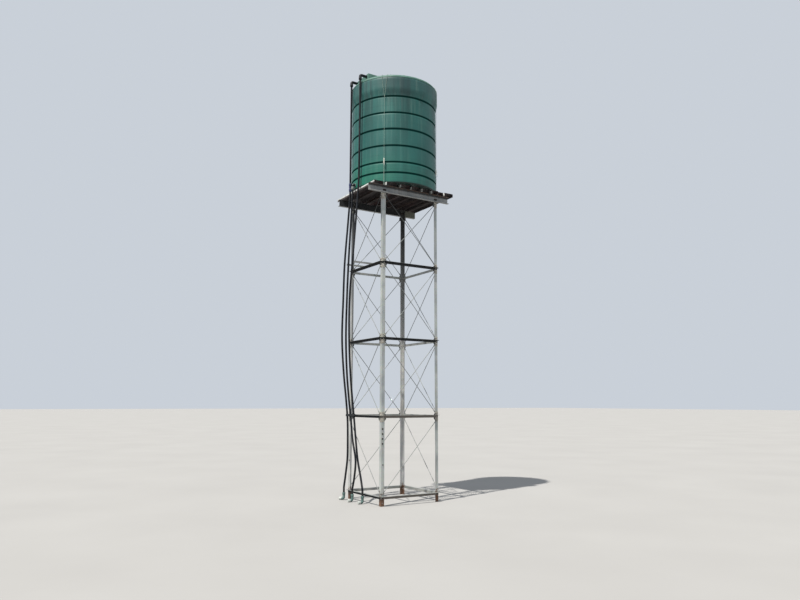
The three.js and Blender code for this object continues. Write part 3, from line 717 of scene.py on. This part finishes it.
def rod_parts(foot, head, lift_foot, lift_head, bow):
    """Round rod with flattened ends. foot and head are (x, z) at its bolts; lift is each plate's face."""
    radius = 0.006
    half_width, half_thickness = 0.0135, 0.0026
    start = Vector((foot[0], 0, foot[1]))
    end = Vector((head[0], 0, head[1]))
    way = (end - start).normalized()
    across = Vector((-way.z, 0, way.x))
    out = Vector(OUT)
    length = (end - start).length
    # Distance from the bolt, half width and half thickness, from the tip inward
    flat = [(-0.024, 0.006, 0.0015), (-0.0225, 0.0095, half_thickness),
            (-0.017, half_width, half_thickness), (0.022, half_width, half_thickness),
            (0.040, 0.0105, 0.0036), (0.062, 0.0072, 0.0054), (0.080, radius, radius)]
    inner = [0.1, 0.2, 0.3, 0.4, 0.46, 0.5, 0.54, 0.6, 0.7, 0.8, 0.9]
    stations = flat + [(length * share, radius, radius) for share in inner]
    stations += [(length - distance, a, b) for distance, a, b in reversed(flat)]
    rings = []
    for distance, a, b in stations:
        share = held(distance / length)
        base = lift_foot + (lift_head - lift_foot) * share
        rise = base + b + bow * math.sin(math.pi * share) ** 2
        centre = start + way * distance + out * rise
        square = 0.55 if b < radius * 0.95 else 1.0
        rings.append([centre + across * u + out * v for u, v in circle(14, a, b, square)])
    parts = tube(rings, 4)
    for (x, z), lift in ((foot, lift_foot), (head, lift_head)):
        parts += bolt((x, -lift - 2 * half_thickness, z), OUT, SMALL_BOLT)
    return parts


GUSSET_ABOVE = 0.065
GUSSET_BELOW = 0.125
PLATE_BOLT_INSET = 0.024
ROD_INSET = 0.062
ROD_FOOT_RISE = 0.043
ROD_HEAD_DROP = 0.088
TOP_BAY_HEAD = BEAM_BOTTOM + 0.020
CROSSING_BOW = 0.0068


def lattice_parts():
    parts = []
    heads = LEVELS[2:] + [TOP_BAY_HEAD]
    reach = HALF - ROD_INSET
    for level, head in zip(LEVELS[1:], heads):
        parts += brace_parts(level)
        for side in (-1, 1):
            parts += gusset_parts(side, level - GUSSET_BELOW, level + GUSSET_ABOVE)
            parts += plate_bolt(side, level + 0.05) + plate_bolt(side, level - 0.098)
            foot_place = (side * reach, level + ROD_FOOT_RISE)
            head_place = (-side * reach, head - ROD_HEAD_DROP)
            parts += rod_parts(foot_place, head_place, -PLATE_FACE, -PLATE_FACE, side * CROSSING_BOW)
    for side in (-1, 1):
        parts += gusset_parts(side, BEAM_BOTTOM - GUSSET_BELOW, BEAM_BOTTOM - 0.005)
        parts += plate_bolt(side, BEAM_BOTTOM - 0.1)
    return parts


def foot_rod_parts(rise):
    reach = HALF - LEG_FLANGE / 2
    head = (rise * reach, LEVELS[1] - BRACE_FLANGE - 0.042)
    foot = (-rise * reach, LEVELS[0] + 0.055)
    return rod_parts(foot, head, FACE, -PLATE_FACE + GAP, 0.0)


RODS_RISE = {"front": 1, "right": 1, "back": -1, "left": -1}

for corner, turn in CORNERS.items():
    parts = moved(leg_parts(corner == "front_left"), Matrix.Rotation(turn, 4, "Z"))
    steel = BACK_LEG_LIT_AND_SHADED_ZINC if corner.startswith("back") else LEG_ZINC
    dress(f"leg_{corner}", "rolled", parts, [steel, BOLT_RUSTY])

SIDE_STEEL = [BRACE_ZINC, BOLT_ZINC, DARK_STEEL_AND_SHADE, PLATE_ZINC, ROD_ZINC]
FOOT_STEEL = [BRACE_ZINC, BOLT_RUSTY, DARK_STEEL_AND_SHADE]

for side, turn in SIDES.items():
    matrix = Matrix.Rotation(turn, 4, "Z")
    brace = moved(brace_parts(LEVELS[0]), matrix)
    rod = moved(foot_rod_parts(RODS_RISE[side]), matrix)
    dress(f"lattice_{side}", "bolted", moved(lattice_parts(), matrix), SIDE_STEEL)
    dress(f"base_brace_{side}", "rolled", brace, FOOT_STEEL)
    dress(f"foot_rod_{side}", "forged", rod, SIDE_STEEL)

# Deck: two channel beams and eight cold-formed channels


def beam_parts(low_x, high_x):
    flange, web, thickness = 0.060, 0.007, 0.009
    root, toe = 0.009, 0.004
    height = BEAM_TOP - BEAM_BOTTOM
    outline = [(0.0, 0.0), (flange, 0.0)]
    outline += arc(flange - toe, thickness - toe, toe, 0, 90)
    outline += arc(web + root, thickness + root, root, 270, 180)
    outline += arc(web + root, height - thickness - root, root, 180, 90)
    outline += arc(flange - toe, height - thickness + toe, toe, 270, 360)
    outline += [(flange, height), (0.0, height)]
    kinds = [0] * (len(outline) - 1) + [2]
    parts = prism(outline, lambda a, b, t: (t, -FACE - a, BEAM_BOTTOM + b), low_x, high_x, kinds)
    for side in (-1, 1):
        for inset in (0.020, 0.052):
            parts += through_bolt(side * (HALF - inset), BEAM_BOTTOM + 0.055, -FACE - web, BEAM_BOLT, 0.012)
    return parts


for side in ("front", "back"):
    low, high = local_box(f"beam_{side}")
    ends = (low.x, high.x) if side == "front" else (-high.x, -low.x)
    parts = moved(beam_parts(*ends), Matrix.Rotation(SIDES[side], 4, "Z"))
    dress(f"beam_{side}", "rolled", parts, [BEAM_ZINC, BOLT_RUSTY, BEAM_INSIDE])


def deck_channel_parts(low, high):
    """Cold-formed channel lying on its two lips, with rounded bends."""
    thickness, bend = 0.004, 0.009
    width = high.x - low.x
    height = high.z - low.z
    outer = [(0.0, 0.0)] + arc(bend, height - bend, bend, 180, 90)
    outer += arc(width - bend, height - bend, bend, 90, 0) + [(width, 0.0)]
    inside = bend - thickness
    inner = [(width - thickness, 0.0)] + arc(width - bend, height - bend, inside, 0, 90)
    inner += arc(bend, height - bend, inside, 90, 180) + [(thickness, 0.0)]
    kinds = [0] * (len(outer) - 1) + [1] * (len(inner) + 1)
    return prism(outer + inner, lambda a, b, t: (low.x + a, t, low.z + b), low.y, high.y, kinds, 1)


for number in range(1, 9):
    node = f"deck_channel_{number}"
    dress(node, "formed", deck_channel_parts(*local_box(node)), [DECK_OUTER, DECK_INNER])

# Tank

WALL_FOOT = 0.022
WALL_CROWN = 0.008


def rounding(distance, radius):
    """How far an edge rounded to a radius falls back, at a distance from where it ends."""
    away = held(1 - distance / radius)
    return radius * (1 - math.sqrt(1 - away * away))


def wall_radius(height):
    """Radius of the wall: a round foot and rim, soft grooves, swelling panels and the flare to the rim."""
    groove_depth, groove_half = 0.011, 0.016
    swell = 0.002
    edges = [TANK_BOTTOM] + GROOVE_HEIGHTS + [WALL_TOP]
    panel = max(index for index, edge in enumerate(edges[:-1]) if height >= edge - 1e-6)
    share = (height - edges[panel]) / (edges[panel + 1] - edges[panel])
    radius = TANK_RADIUS - swell + swell * math.sin(math.pi * share)
    flare = held((height - GROOVE_HEIGHTS[-1]) / (RIM_FOOT - GROOVE_HEIGHTS[-1]))
    radius += (RIM_RADIUS - TANK_RADIUS) * flare * flare * (3 - 2 * flare)
    for groove in GROOVE_HEIGHTS:
        away = abs(height - groove) / groove_half
        if away < 1:
            radius -= groove_depth * (1 - away ** 3) ** 1.5
    return radius - rounding(height - TANK_BOTTOM, WALL_FOOT) - rounding(WALL_TOP - height, WALL_CROWN)


def wall_heights():
    """Heights of the wall's rings: close together at the foot, the grooves and the shoulder."""
    step = 0.03
    heights = {TANK_BOTTOM, WALL_TOP}
    heights.update(TANK_BOTTOM + count * step for count in range(int((WALL_TOP - TANK_BOTTOM) / step)))
    for groove in GROOVE_HEIGHTS:
        heights.update(groove + away * 0.002 for away in range(-8, 9))
    heights.update(TANK_BOTTOM + WALL_FOOT * share for share in (0.02, 0.08, 0.18, 0.32, 0.5, 0.7))
    heights.update(WALL_TOP - WALL_CROWN * share for share in (0.02, 0.1, 0.25, 0.5, 0.8))
    return sorted(heights)


def wall_wave(angle, radius, height):
    """Shallow dents of moulding, inward only."""
    place = Vector((math.cos(angle) * 1.6, math.sin(angle) * 1.6, height * 1.1))
    return -0.0025 * max(noise.noise(place), 0.0)


def make_tank_wall():
    skin = 0.016
    profile = [(wall_radius(height), height) for height in wall_heights()]
    profile += [(RIM_RADIUS - skin, WALL_TOP), (RIM_RADIUS - skin, RIM_FOOT),
                (TANK_RADIUS - skin, GROOVE_HEIGHTS[-1]), (TANK_RADIUS - skin, TANK_BOTTOM)]
    parts = tube(lathe_rings(profile, 224, wall_wave), closed=True)
    dress("tank_wall", "moulded", parts, [TANK_PLASTIC], sharp=50)


ROOF_MIDDLE = (0.650, 8.646)
ROOF_UPPER = (0.450, 8.690)
ROOF_END = (0.290, 8.720)
NECK_RADIUS = 0.235
MANHOLE_RADIUS = 0.205
RIB_COUNT = 20
RIB_HEIGHT = 0.014
RIB_HALF_WIDTH = 0.0165
RIB_FLANK = 0.0065
RIB_START = RIM_RADIUS - 0.044
INLET_BLOCK_FACE = -0.800
INLET_BLOCK_BACK = -0.420
INLET_BLOCK_HALF_WIDTH = 0.270
INLET_BLOCK_TOP = NECK_TOP - 0.048
SHOULDER_REACH = 0.042


def roof_profile():
    """(radius, height, rib height) of the roof's skin, from the outer foot over the neck to the inside."""
    rings = [(RIM_RADIUS - 0.007, ROOF_BOTTOM, 0), (RIM_RADIUS - 0.002, ROOF_BOTTOM + 0.002, 0)]
    rise = ROOF_SHOULDER - ROOF_BOTTOM
    for step in range(1, 13):
        angle = math.radians(7.5 * step)
        radius = RIM_RADIUS - SHOULDER_REACH * (1 - math.cos(angle))
        rings.append((radius, ROOF_BOTTOM + rise * math.sin(angle), 0))
    slope = [(RIM_RADIUS - SHOULDER_REACH, ROOF_SHOULDER), ROOF_MIDDLE, ROOF_UPPER, ROOF_END]
    for (outer_r, outer_z), (inner_r, inner_z) in zip(slope, slope[1:]):
        for share in (0.03, 0.07, 0.12, 0.2, 0.35, 0.5, 0.65, 0.8, 0.92, 1.0):
            radius = outer_r + (inner_r - outer_r) * share
            rib = RIB_HEIGHT * held((RIB_START - radius) / 0.012) * held((radius - 0.292) / 0.02)
            rings.append((radius, outer_z + (inner_z - outer_z) * share, rib))
    foot = ROOF_END[1]
    rings += [(0.262, foot + 0.004, 0), (0.247, foot + 0.007, 0), (0.239, foot + 0.012, 0),
              (NECK_RADIUS, foot + 0.019, 0)]
    for count in range(5):
        low = foot + 0.024 + count * 0.008
        rings += [(NECK_RADIUS, low, 0), (NECK_RADIUS + 0.0022, low + 0.003, 0),
                  (NECK_RADIUS, low + 0.006, 0)]
    rings += [(NECK_RADIUS - 0.003, NECK_TOP, 0), (MANHOLE_RADIUS + 0.003, NECK_TOP, 0),
              (MANHOLE_RADIUS, NECK_TOP - 0.004, 0), (MANHOLE_RADIUS, foot - 0.007, 0)]
    rings += [(radius - 0.006, height - 0.010, 0) for radius, height in reversed(slope)]
    return rings + [(RIM_RADIUS - 0.014, ROOF_BOTTOM, 0)]


def roof_columns(radius):
    """Angles round the roof at a radius, each with its share of a rib's height: none by the inlet block."""
    flanks = (-0.019, -0.016, -0.0125, -0.009, 0.0, 0.009, 0.0125, 0.016, 0.019)
    between = 12
    sector = 2 * math.pi / RIB_COUNT
    edge = math.asin(min(flanks[-1] / radius, 0.15))
    columns = []
    for rib in range(RIB_COUNT):
        by_inlet = abs(rib - RIB_COUNT // 2) <= 1
        for offset in flanks:
            share = 0.0 if by_inlet else held((RIB_HALF_WIDTH - abs(offset)) / RIB_FLANK)
            columns.append((rib * sector + edge * offset / flanks[-1], share))
        for count in range(1, between + 1):
            columns.append((rib * sector + edge + (sector - 2 * edge) * (count / (between + 1)), 0.0))
    return columns


def rounded_box(low, high, radius):
    """Box with rounded upright edges and a rounded top."""
    left, right = low[0] + radius, high[0] - radius
    front, back = low[1] + radius, high[1] - radius
    corners = [(right, back, 0), (left, back, 90), (left, front, 180), (right, front, 270)]

    def ring(inset, height):
        outline = []
        for x, y, start in corners:
            outline += arc(x, y, radius - inset, start, start + 90)
        return [Vector((x, y, height)) for x, y in outline]

    rings = [ring(0.0, low[2])]
    for step in range(ARC_STEPS + 1):
        angle = math.radians(90 * step / ARC_STEPS)
        inset = radius * 0.98 * (1 - math.cos(angle))
        rings.append(ring(inset, high[2] - radius + radius * math.sin(angle)))
    return tube(rings)


def make_tank_roof():
    rings = []
    for radius, height, rib in roof_profile():
        rings.append([Vector((radius * math.cos(angle), radius * math.sin(angle), height + rib * share))
                      for angle, share in roof_columns(radius)])
    parts = tube(rings, closed=True)
    parts += rounded_box((INLET_BLOCK_FACE, -INLET_BLOCK_HALF_WIDTH, ROOF_BOTTOM + 0.030),
                         (INLET_BLOCK_BACK, INLET_BLOCK_HALF_WIDTH, INLET_BLOCK_TOP), 0.010)
    dress("tank_roof", "moulded", parts, [ROOF_PLASTIC], sharp=40)


def make_tank_lid():
    """Screwed lid with a fluted rim and a dished top."""
    low = NECK_TOP + GAP - 0.030
    inner = NECK_RADIUS + 0.003
    underside = [(0, NECK_TOP + GAP), (inner, NECK_TOP + GAP), (inner, low)]
    rim = [(-0.003, low), (0, low + 0.004), (0, LID_TOP - 0.014), (-0.004, LID_TOP - 0.005),
           (-0.014, LID_TOP), (-0.040, LID_TOP), (-0.050, LID_TOP - 0.008)]
    dish = [(0.100, LID_TOP - 0.006), (0.092, LID_TOP - 0.001), (0, LID_TOP)]
    profile = underside + [(LID_RADIUS + inset, height) for inset, height in rim] + dish

    def flutes(angle, radius, height):
        on_rim = radius > LID_RADIUS - 0.006 and height < LID_TOP - 0.003
        return -0.006 * max(math.cos(32 * angle), 0.0) if on_rim else 0.0

    dress("tank_lid", "moulded", turned(profile, 256, wave=flutes), [ROOF_PLASTIC])


make_tank_wall()
make_tank_roof()
make_tank_lid()

# Pipes: the routes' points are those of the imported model, top first

PIPE_RADIUS = 0.020
PIPE_LINE_X = -0.950
OUTLET_LINE_X = -0.960
INLET_HEIGHT = 8.684
OUTLET_HEIGHT = 6.375
FILL_PIPE_Y = 0.181
OVERFLOW_PIPE_Y = -0.200
SUPPLY_PIPE_Y = 0.055
COUPLING_TOP = 6.435
COUPLING_BOTTOM = 6.265
SOCKET_DROP = 0.105
FOOT_NUT_TOP = 0.150

FILL_PLACES = [
    (-0.954, 0.194, 6.0), (-0.980, 0.200, 5.6), (-1.062, 0.168, 4.7), (-1.064, 0.200, 4.0),
    (-1.040, 0.275, 3.2), (-0.962, 0.330, 2.5), (-0.886, 0.362, 2.0), (-0.834, 0.385, 1.6),
    (-0.820, 0.390, 1.2), (-0.815, 0.405, 0.8), (-0.820, 0.465, 0.48)]
OVERFLOW_PLACES = [
    (-0.950, -0.200, 7.6), (-0.950, -0.194, 6.8), (-0.950, -0.180, 6.35), (-1.004, -0.186, 5.6),
    (-1.086, -0.215, 4.7), (-1.035, -0.020, 4.0), (-0.950, 0.140, 3.2), (-0.850, 0.255, 2.5),
    (-0.768, 0.315, 2.0), (-0.732, 0.295, 1.6), (-0.738, 0.205, 1.2), (-0.758, 0.075, 0.8),
    (-0.770, -0.075, 0.48)]
SUPPLY_PLACES = [
    (-0.966, 0.060, 6.0), (-0.980, 0.072, 5.6), (-1.018, 0.085, 4.7), (-1.015, 0.135, 4.0),
    (-0.985, 0.212, 3.2), (-0.905, 0.300, 2.5), (-0.830, 0.345, 2.0), (-0.782, 0.340, 1.6),
    (-0.800, 0.225, 1.2), (-0.815, 0.060, 0.8), (-0.815, 0.110, 0.45)]


def plumb_ends(top, bottom, between):
    """The route with a straight run down at each end."""
    run = 0.045
    down = Vector((0, 0, -run))
    top, bottom = Vector(top), Vector(bottom)
    inner = [Vector(point) for point in between]
    return [top, top + down, top + 2 * down, *inner, bottom - 2 * down, bottom - down, bottom]


def part_way(first, last, start, end, t):
    """The place at t on the straight way from first, reached at start, to last, reached at end."""
    return first * ((end - t) / (end - start)) + last * ((t - start) / (end - start))


def smooth_route(points):
    """Centripetal Catmull-Rom curve through the points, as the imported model's pipes have."""
    spacing = 0.03
    padded = [2 * points[0] - points[1], *points, 2 * points[-1] - points[-2]]
    path = [points[0].copy()]
    for index in range(1, len(padded) - 2):
        p0, p1, p2, p3 = padded[index - 1:index + 3]
        t1 = (p1 - p0).length ** 0.5
        t2 = t1 + (p2 - p1).length ** 0.5
        t3 = t2 + (p3 - p2).length ** 0.5
        steps = max(int((p2 - p1).length / spacing), 1)
        for step in range(1, steps + 1):
            t = t1 + (t2 - t1) * step / steps
            a1 = part_way(p0, p1, 0.0, t1, t)
            a2 = part_way(p1, p2, t1, t2, t)
            a3 = part_way(p2, p3, t2, t3, t)
            b1 = part_way(a1, a2, 0.0, t2, t)
            b2 = part_way(a2, a3, t1, t3, t)
            path.append(part_way(b1, b2, t1, t2, t))
    return path


FEET = {"fill": (-0.826, 0.515), "overflow": (-0.778, -0.165), "supply": (-0.815, 0.180)}
BELOW_INLET = INLET_HEIGHT - SOCKET_DROP - GAP
BELOW_OUTLET = OUTLET_HEIGHT - SOCKET_DROP - GAP
ROUTES = {
    "fill": ((PIPE_LINE_X, FILL_PIPE_Y, COUPLING_BOTTOM - GAP), FILL_PLACES),
    "overflow": ((PIPE_LINE_X, OVERFLOW_PIPE_Y, BELOW_INLET), OVERFLOW_PLACES),
    "supply": ((OUTLET_LINE_X, SUPPLY_PIPE_Y, BELOW_OUTLET), SUPPLY_PLACES),
}
PIPES = {"fill_pipe_lower": "fill", "overflow_pipe": "overflow", "supply_pipe": "supply"}


def make_pipe(node, path):
    dress(node, "round", swept(path, circle(24, PIPE_RADIUS)), [PIPE_BLACK])


for node, use in PIPES.items():
    top, places = ROUTES[use]
    make_pipe(node, smooth_route(plumb_ends(top, (*FEET[use], FOOT_NUT_TOP + GAP), places)))

UPPER_FILL_HEIGHTS = (BELOW_INLET, 7.5, COUPLING_TOP + GAP)
make_pipe("fill_pipe_upper", [Vector((PIPE_LINE_X, FILL_PIPE_Y, height)) for height in UPPER_FILL_HEIGHTS])

# Fittings: bodies with bends, and nuts with gripping ribs


def ribbed_nut(start, end, radius, kind=0):
    """Compression nut between two points: ribbed grip, a plain collar at its start."""
    ribs = 16
    start, end = Vector(start), Vector(end)
    length = (end - start).length
    place = facing(start, (end - start).normalized())
    core = radius * 0.9
    profile = [(0, 0), (core - 0.003, 0), (core, 0.002), (core, length * 0.2), (radius, length * 0.26),
               (radius, length * 0.9), (radius - 0.002, length - 0.001), (core, length), (0, length)]

    def grip(angle, reach, height):
        on_grip = reach > core + 0.0005
        return -radius * 0.07 * (0.5 - 0.5 * math.cos(ribs * angle)) if on_grip else 0.0

    return turned(profile, ribs * 6, place, kind, grip)


def bend_path(points, radius):
    """Path through three points with its corner rounded."""
    steps = 8
    start, corner, end = (Vector(point) for point in points)
    back = (start - corner).normalized()
    on = (end - corner).normalized()
    path = [start]
    for step in range(steps + 1):
        share = step / steps
        into = (corner + back * radius).lerp(corner, share)
        path.append(into.lerp(corner.lerp(corner + on * radius, share), share))
    return path + [end]


def side_elbow_parts(face_x, line_x, y, height, nut_kind=0):
    """Elbow from a tank face out to a pipe's line and down into its socket."""
    path = bend_path([(face_x, y, height), (line_x, y, height), (line_x, y, height - 0.060)], 0.034)
    parts = swept(path, circle(24, 0.0285))
    parts += hex_nut(facing((face_x, y, height), (-1, 0, 0)), 0.0535, 0.022, nut_kind)
    parts += ribbed_nut((line_x, y, height - 0.040), (line_x, y, height - SOCKET_DROP), 0.033, nut_kind)
    return parts


for node, y in (("fill_elbow", FILL_PIPE_Y), ("overflow_elbow", OVERFLOW_PIPE_Y)):
    parts = side_elbow_parts(INLET_BLOCK_FACE - GAP, PIPE_LINE_X, y, INLET_HEIGHT)
    dress(node, "moulded", parts, [PIPE_BLACK])


def outlet_parts():
    """The elbow low on the tank, with a flange against the wall."""
    flange = [(0, 0), (0.036, 0), (0.037, 0.003), (0.037, 0.010), (0.034, 0.012), (0, 0.012)]
    place = facing((-TANK_RADIUS + 0.001, SUPPLY_PIPE_Y, OUTLET_HEIGHT), (-1, 0, 0))
    elbow = side_elbow_parts(-TANK_RADIUS - 0.003, OUTLET_LINE_X, SUPPLY_PIPE_Y, OUTLET_HEIGHT, 1)
    return elbow + turned(flange, 40, place, 1)


dress("tank_outlet", "moulded", outlet_parts(), [PIPE_BLACK, FITTING_GREY])


def coupling_parts():
    def at(height):
        return PIPE_LINE_X, FILL_PIPE_Y, height

    middle = (COUPLING_TOP + COUPLING_BOTTOM) / 2
    parts = ribbed_nut(at(middle + 0.012), at(COUPLING_TOP), 0.028)
    parts += ribbed_nut(at(middle - 0.012), at(COUPLING_BOTTOM), 0.028)
    lower = [(0, -0.03), (0.0235, -0.03), (0.0235, -0.008), (0.027, -0.006)]
    body = lower + [(radius, -height) for radius, height in reversed(lower)]
    return parts + turned(body, 40, Matrix.Translation(at(middle)))


dress("pipe_coupling", "moulded", coupling_parts(), [COUPLING_BLUE])


def foot_elbow_parts(foot, way):
    """Elbow on the ground: a nut on the pipe, a dark body and a pale nut at its outlet."""
    x, y = foot
    axis = 0.031
    on = Vector((*way, 0.0)).normalized()
    corner = Vector((x, y, axis))
    path = bend_path([(x, y, FOOT_NUT_TOP - 0.03), corner, corner + on * 0.070], 0.030)
    parts = swept(path, circle(24, 0.0262))
    parts += ribbed_nut((x, y, FOOT_NUT_TOP - 0.055), (x, y, FOOT_NUT_TOP), 0.0305)
    return parts + ribbed_nut(corner + on * 0.042, corner + on * 0.095, 0.0302, 2)


for use, way in (("fill", (-0.6, 0.8)), ("overflow", (-1, 0)), ("supply", (-1, 0))):
    dress(f"{use}_foot_elbow", "moulded", foot_elbow_parts(FEET[use], way),
          [FITTING_TEAL, PIPE_BLACK, FITTING_WHITE])

# Brackets and tie


def bracket_parts(low, high):
    flange = high.y - low.y
    outline = rolled_angle(flange, 0.004, 0.005, 0.0025)
    parts = prism(outline, lambda a, b, t: (t, low.y + a, low.z + b), low.x, high.x)
    return parts + bolt((-HALF - 0.027, low.y + 0.017, low.z + 0.004), UP, 0.010)


for node in ("bracket_bar_1", "bracket_bar_2"):
    dress(node, "rolled", bracket_parts(*local_box(node)), [BRACE_ZINC, BOLT_RUSTY])

for node, material in (("pipe_tie", DARK_STEEL_AND_SHADE), ("tank_floor", TANK_PLASTIC)):
    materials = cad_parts[node].data.materials
    materials.clear()
    materials.append(material)

# Tie ropes


def resampled(points, spacing):
    """The straight runs through the points, cut into short steps."""
    path = [points[0]]
    for start, end in zip(points, points[1:]):
        steps = max(int((end - start).length / spacing), 1)
        path += [start.lerp(end, step / steps) for step in range(1, steps + 1)]
    return path


def strand(points, radius, spacing=0.0045):
    """Three-stranded rope: a lobed section that turns along its way."""
    pitch = 0.036
    path = resampled(points, spacing)
    outlines = []
    travelled = 0.0
    for index, point in enumerate(path):
        travelled += (point - path[index - 1]).length if index else 0.0
        twist = 2 * math.pi * travelled / pitch
        outline = []
        for corner in range(9):
            angle = 2 * math.pi * corner / 9
            reach = radius * (0.86 + 0.14 * math.cos(3 * angle))
            outline.append((reach * math.cos(angle + twist), reach * math.sin(angle + twist)))
        outlines.append(outline)
    return swept(path, outlines)


ROPE_RADIUS = 0.0035
ROPE_CLEARANCE = ROPE_RADIUS + 0.001
ROPE_FOOT = BEAM_TOP + 0.004
SPLIT_HEIGHT = 8.08
SPREAD = 0.055


def rope_line(x, y):
    """The way out from the axis, and the rope's place at any height between the beam and the rim."""
    foot = Vector((x, y, ROPE_FOOT))
    way = Vector((x, y, 0)).normalized()
    top = way * (RIM_RADIUS + ROPE_CLEARANCE) + Vector((0, 0, RIM_FOOT))

    def along(height):
        return foot.lerp(top, (height - foot.z) / (top.z - foot.z))

    return way, along


def rope_half(x, y, crossing, aside):
    """Points from the split up over the shoulder to the lid's middle, aside from the rope's own line."""
    way, along = rope_line(x, y)
    across = Vector((-way.y, way.x, 0))

    def at(radius, height, share=1.0):
        return way * radius + across * aside * share + Vector((0, 0, height))

    rib_top = ROOF_MIDDLE[1] + RIB_HEIGHT + ROPE_CLEARANCE
    return [
        along(SPLIT_HEIGHT), at(RIM_RADIUS + ROPE_CLEARANCE, RIM_FOOT, 0.5),
        at(RIM_RADIUS + ROPE_CLEARANCE, WALL_TOP + 0.008), at(RIM_RADIUS + 0.0015, ROOF_SHOULDER - 0.034),
        at(RIM_RADIUS - 0.012, ROOF_SHOULDER - 0.010), at(RIM_RADIUS - 0.036, ROOF_SHOULDER + 0.012),
        at(ROOF_MIDDLE[0], rib_top), at(LID_RADIUS + ROPE_CLEARANCE + 0.002, LID_TOP - 0.010),
        at(LID_RADIUS - 0.010, LID_TOP + ROPE_CLEARANCE + 0.001), at(0.040, crossing, 0.5),
    ]


def rope_upright(x, y):
    """The stretch from the beam up to the split, with its knot and the loop round the beam's flange."""
    way, along = rope_line(x, y)
    parts = strand([along(KNOT_HEIGHT - 0.02), along(SPLIT_HEIGHT)], ROPE_RADIUS)
    for aside in (-0.006, 0.006):
        start = Vector((x + aside, y, ROPE_FOOT))
        bend = along(KNOT_HEIGHT - 0.12) + Vector((aside * 0.7, 0, 0))
        parts += strand([start, bend, along(KNOT_HEIGHT)], ROPE_RADIUS)
    turns, knot_length, knot_radius = 6, 0.105, 0.0125
    wraps = []
    for step in range(turns * 12 + 1):
        angle = 2 * math.pi * step / 12
        centre = along(KNOT_HEIGHT - knot_length / 2 + knot_length * step / (turns * 12))
        wraps.append(centre + Vector((math.cos(angle), math.sin(angle), 0)) * knot_radius)
    parts += strand(wraps, ROPE_RADIUS * 1.5, spacing=0.006)
    tail = along(KNOT_HEIGHT + 0.03)
    return parts + strand([tail, tail + way * 0.012 + Vector((0.008, 0, -0.03)),
                           tail + way * 0.014 + Vector((0.014, 0, -0.13))], ROPE_RADIUS)


def tie_rope_parts(front, back, lift):
    crossing = LID_TOP + ROPE_CLEARANCE + lift
    parts = rope_upright(*front) + rope_upright(*back)
    for aside in (-SPREAD, SPREAD):
        there = rope_half(*front, crossing, aside)
        back_again = rope_half(*back, crossing, -aside)
        parts += strand(there + back_again[::-1], ROPE_RADIUS)
    return parts


ROPE_LEFT, ROPE_RIGHT, ROPE_DEPTH = -0.655, 0.6185, 0.690
UNDER_ROPE = tie_rope_parts((ROPE_LEFT, -ROPE_DEPTH), (ROPE_RIGHT, ROPE_DEPTH), 0.0)
OVER_ROPE = tie_rope_parts((ROPE_RIGHT, -ROPE_DEPTH), (ROPE_LEFT, ROPE_DEPTH), 0.009)
dress("tie_rope_1", "twisted", UNDER_ROPE, [ROPE_FIBRE])
dress("tie_rope_2", "twisted", OVER_ROPE, [ROPE_FIBRE])

# Floor and light


def make_floor():
    mesh = bpy.data.meshes.new("floor")
    reach = 200.0
    mesh.from_pydata([(-reach, -reach, 0), (reach, -reach, 0), (reach, reach, 0), (-reach, reach, 0)], [],
                     [(0, 1, 2, 3)])
    mesh.materials.append(floor_finish())
    add_object("floor", mesh)


def make_light():
    world = bpy.data.worlds.new("studio")
    world.use_nodes = True
    background = world.node_tree.nodes["Background"]
    background.inputs["Color"].default_value = (0.78, 0.84, 0.92, 1.0)
    background.inputs["Strength"].default_value = 0.75
    bpy.context.scene.world = world
    data = bpy.data.lights.new("key", "SUN")
    data.energy = 6.3
    data.angle = math.radians(1)
    data.color = (1.0, 0.96, 0.9)
    key = add_object("key", data)
    way = Vector((-0.951, -0.309, 1.88))
    key.rotation_euler = way.to_track_quat("Z", "Y").to_euler()
    key.location = way * 10


make_floor()
make_light()
bpy.context.scene.view_settings.view_transform = "Standard"
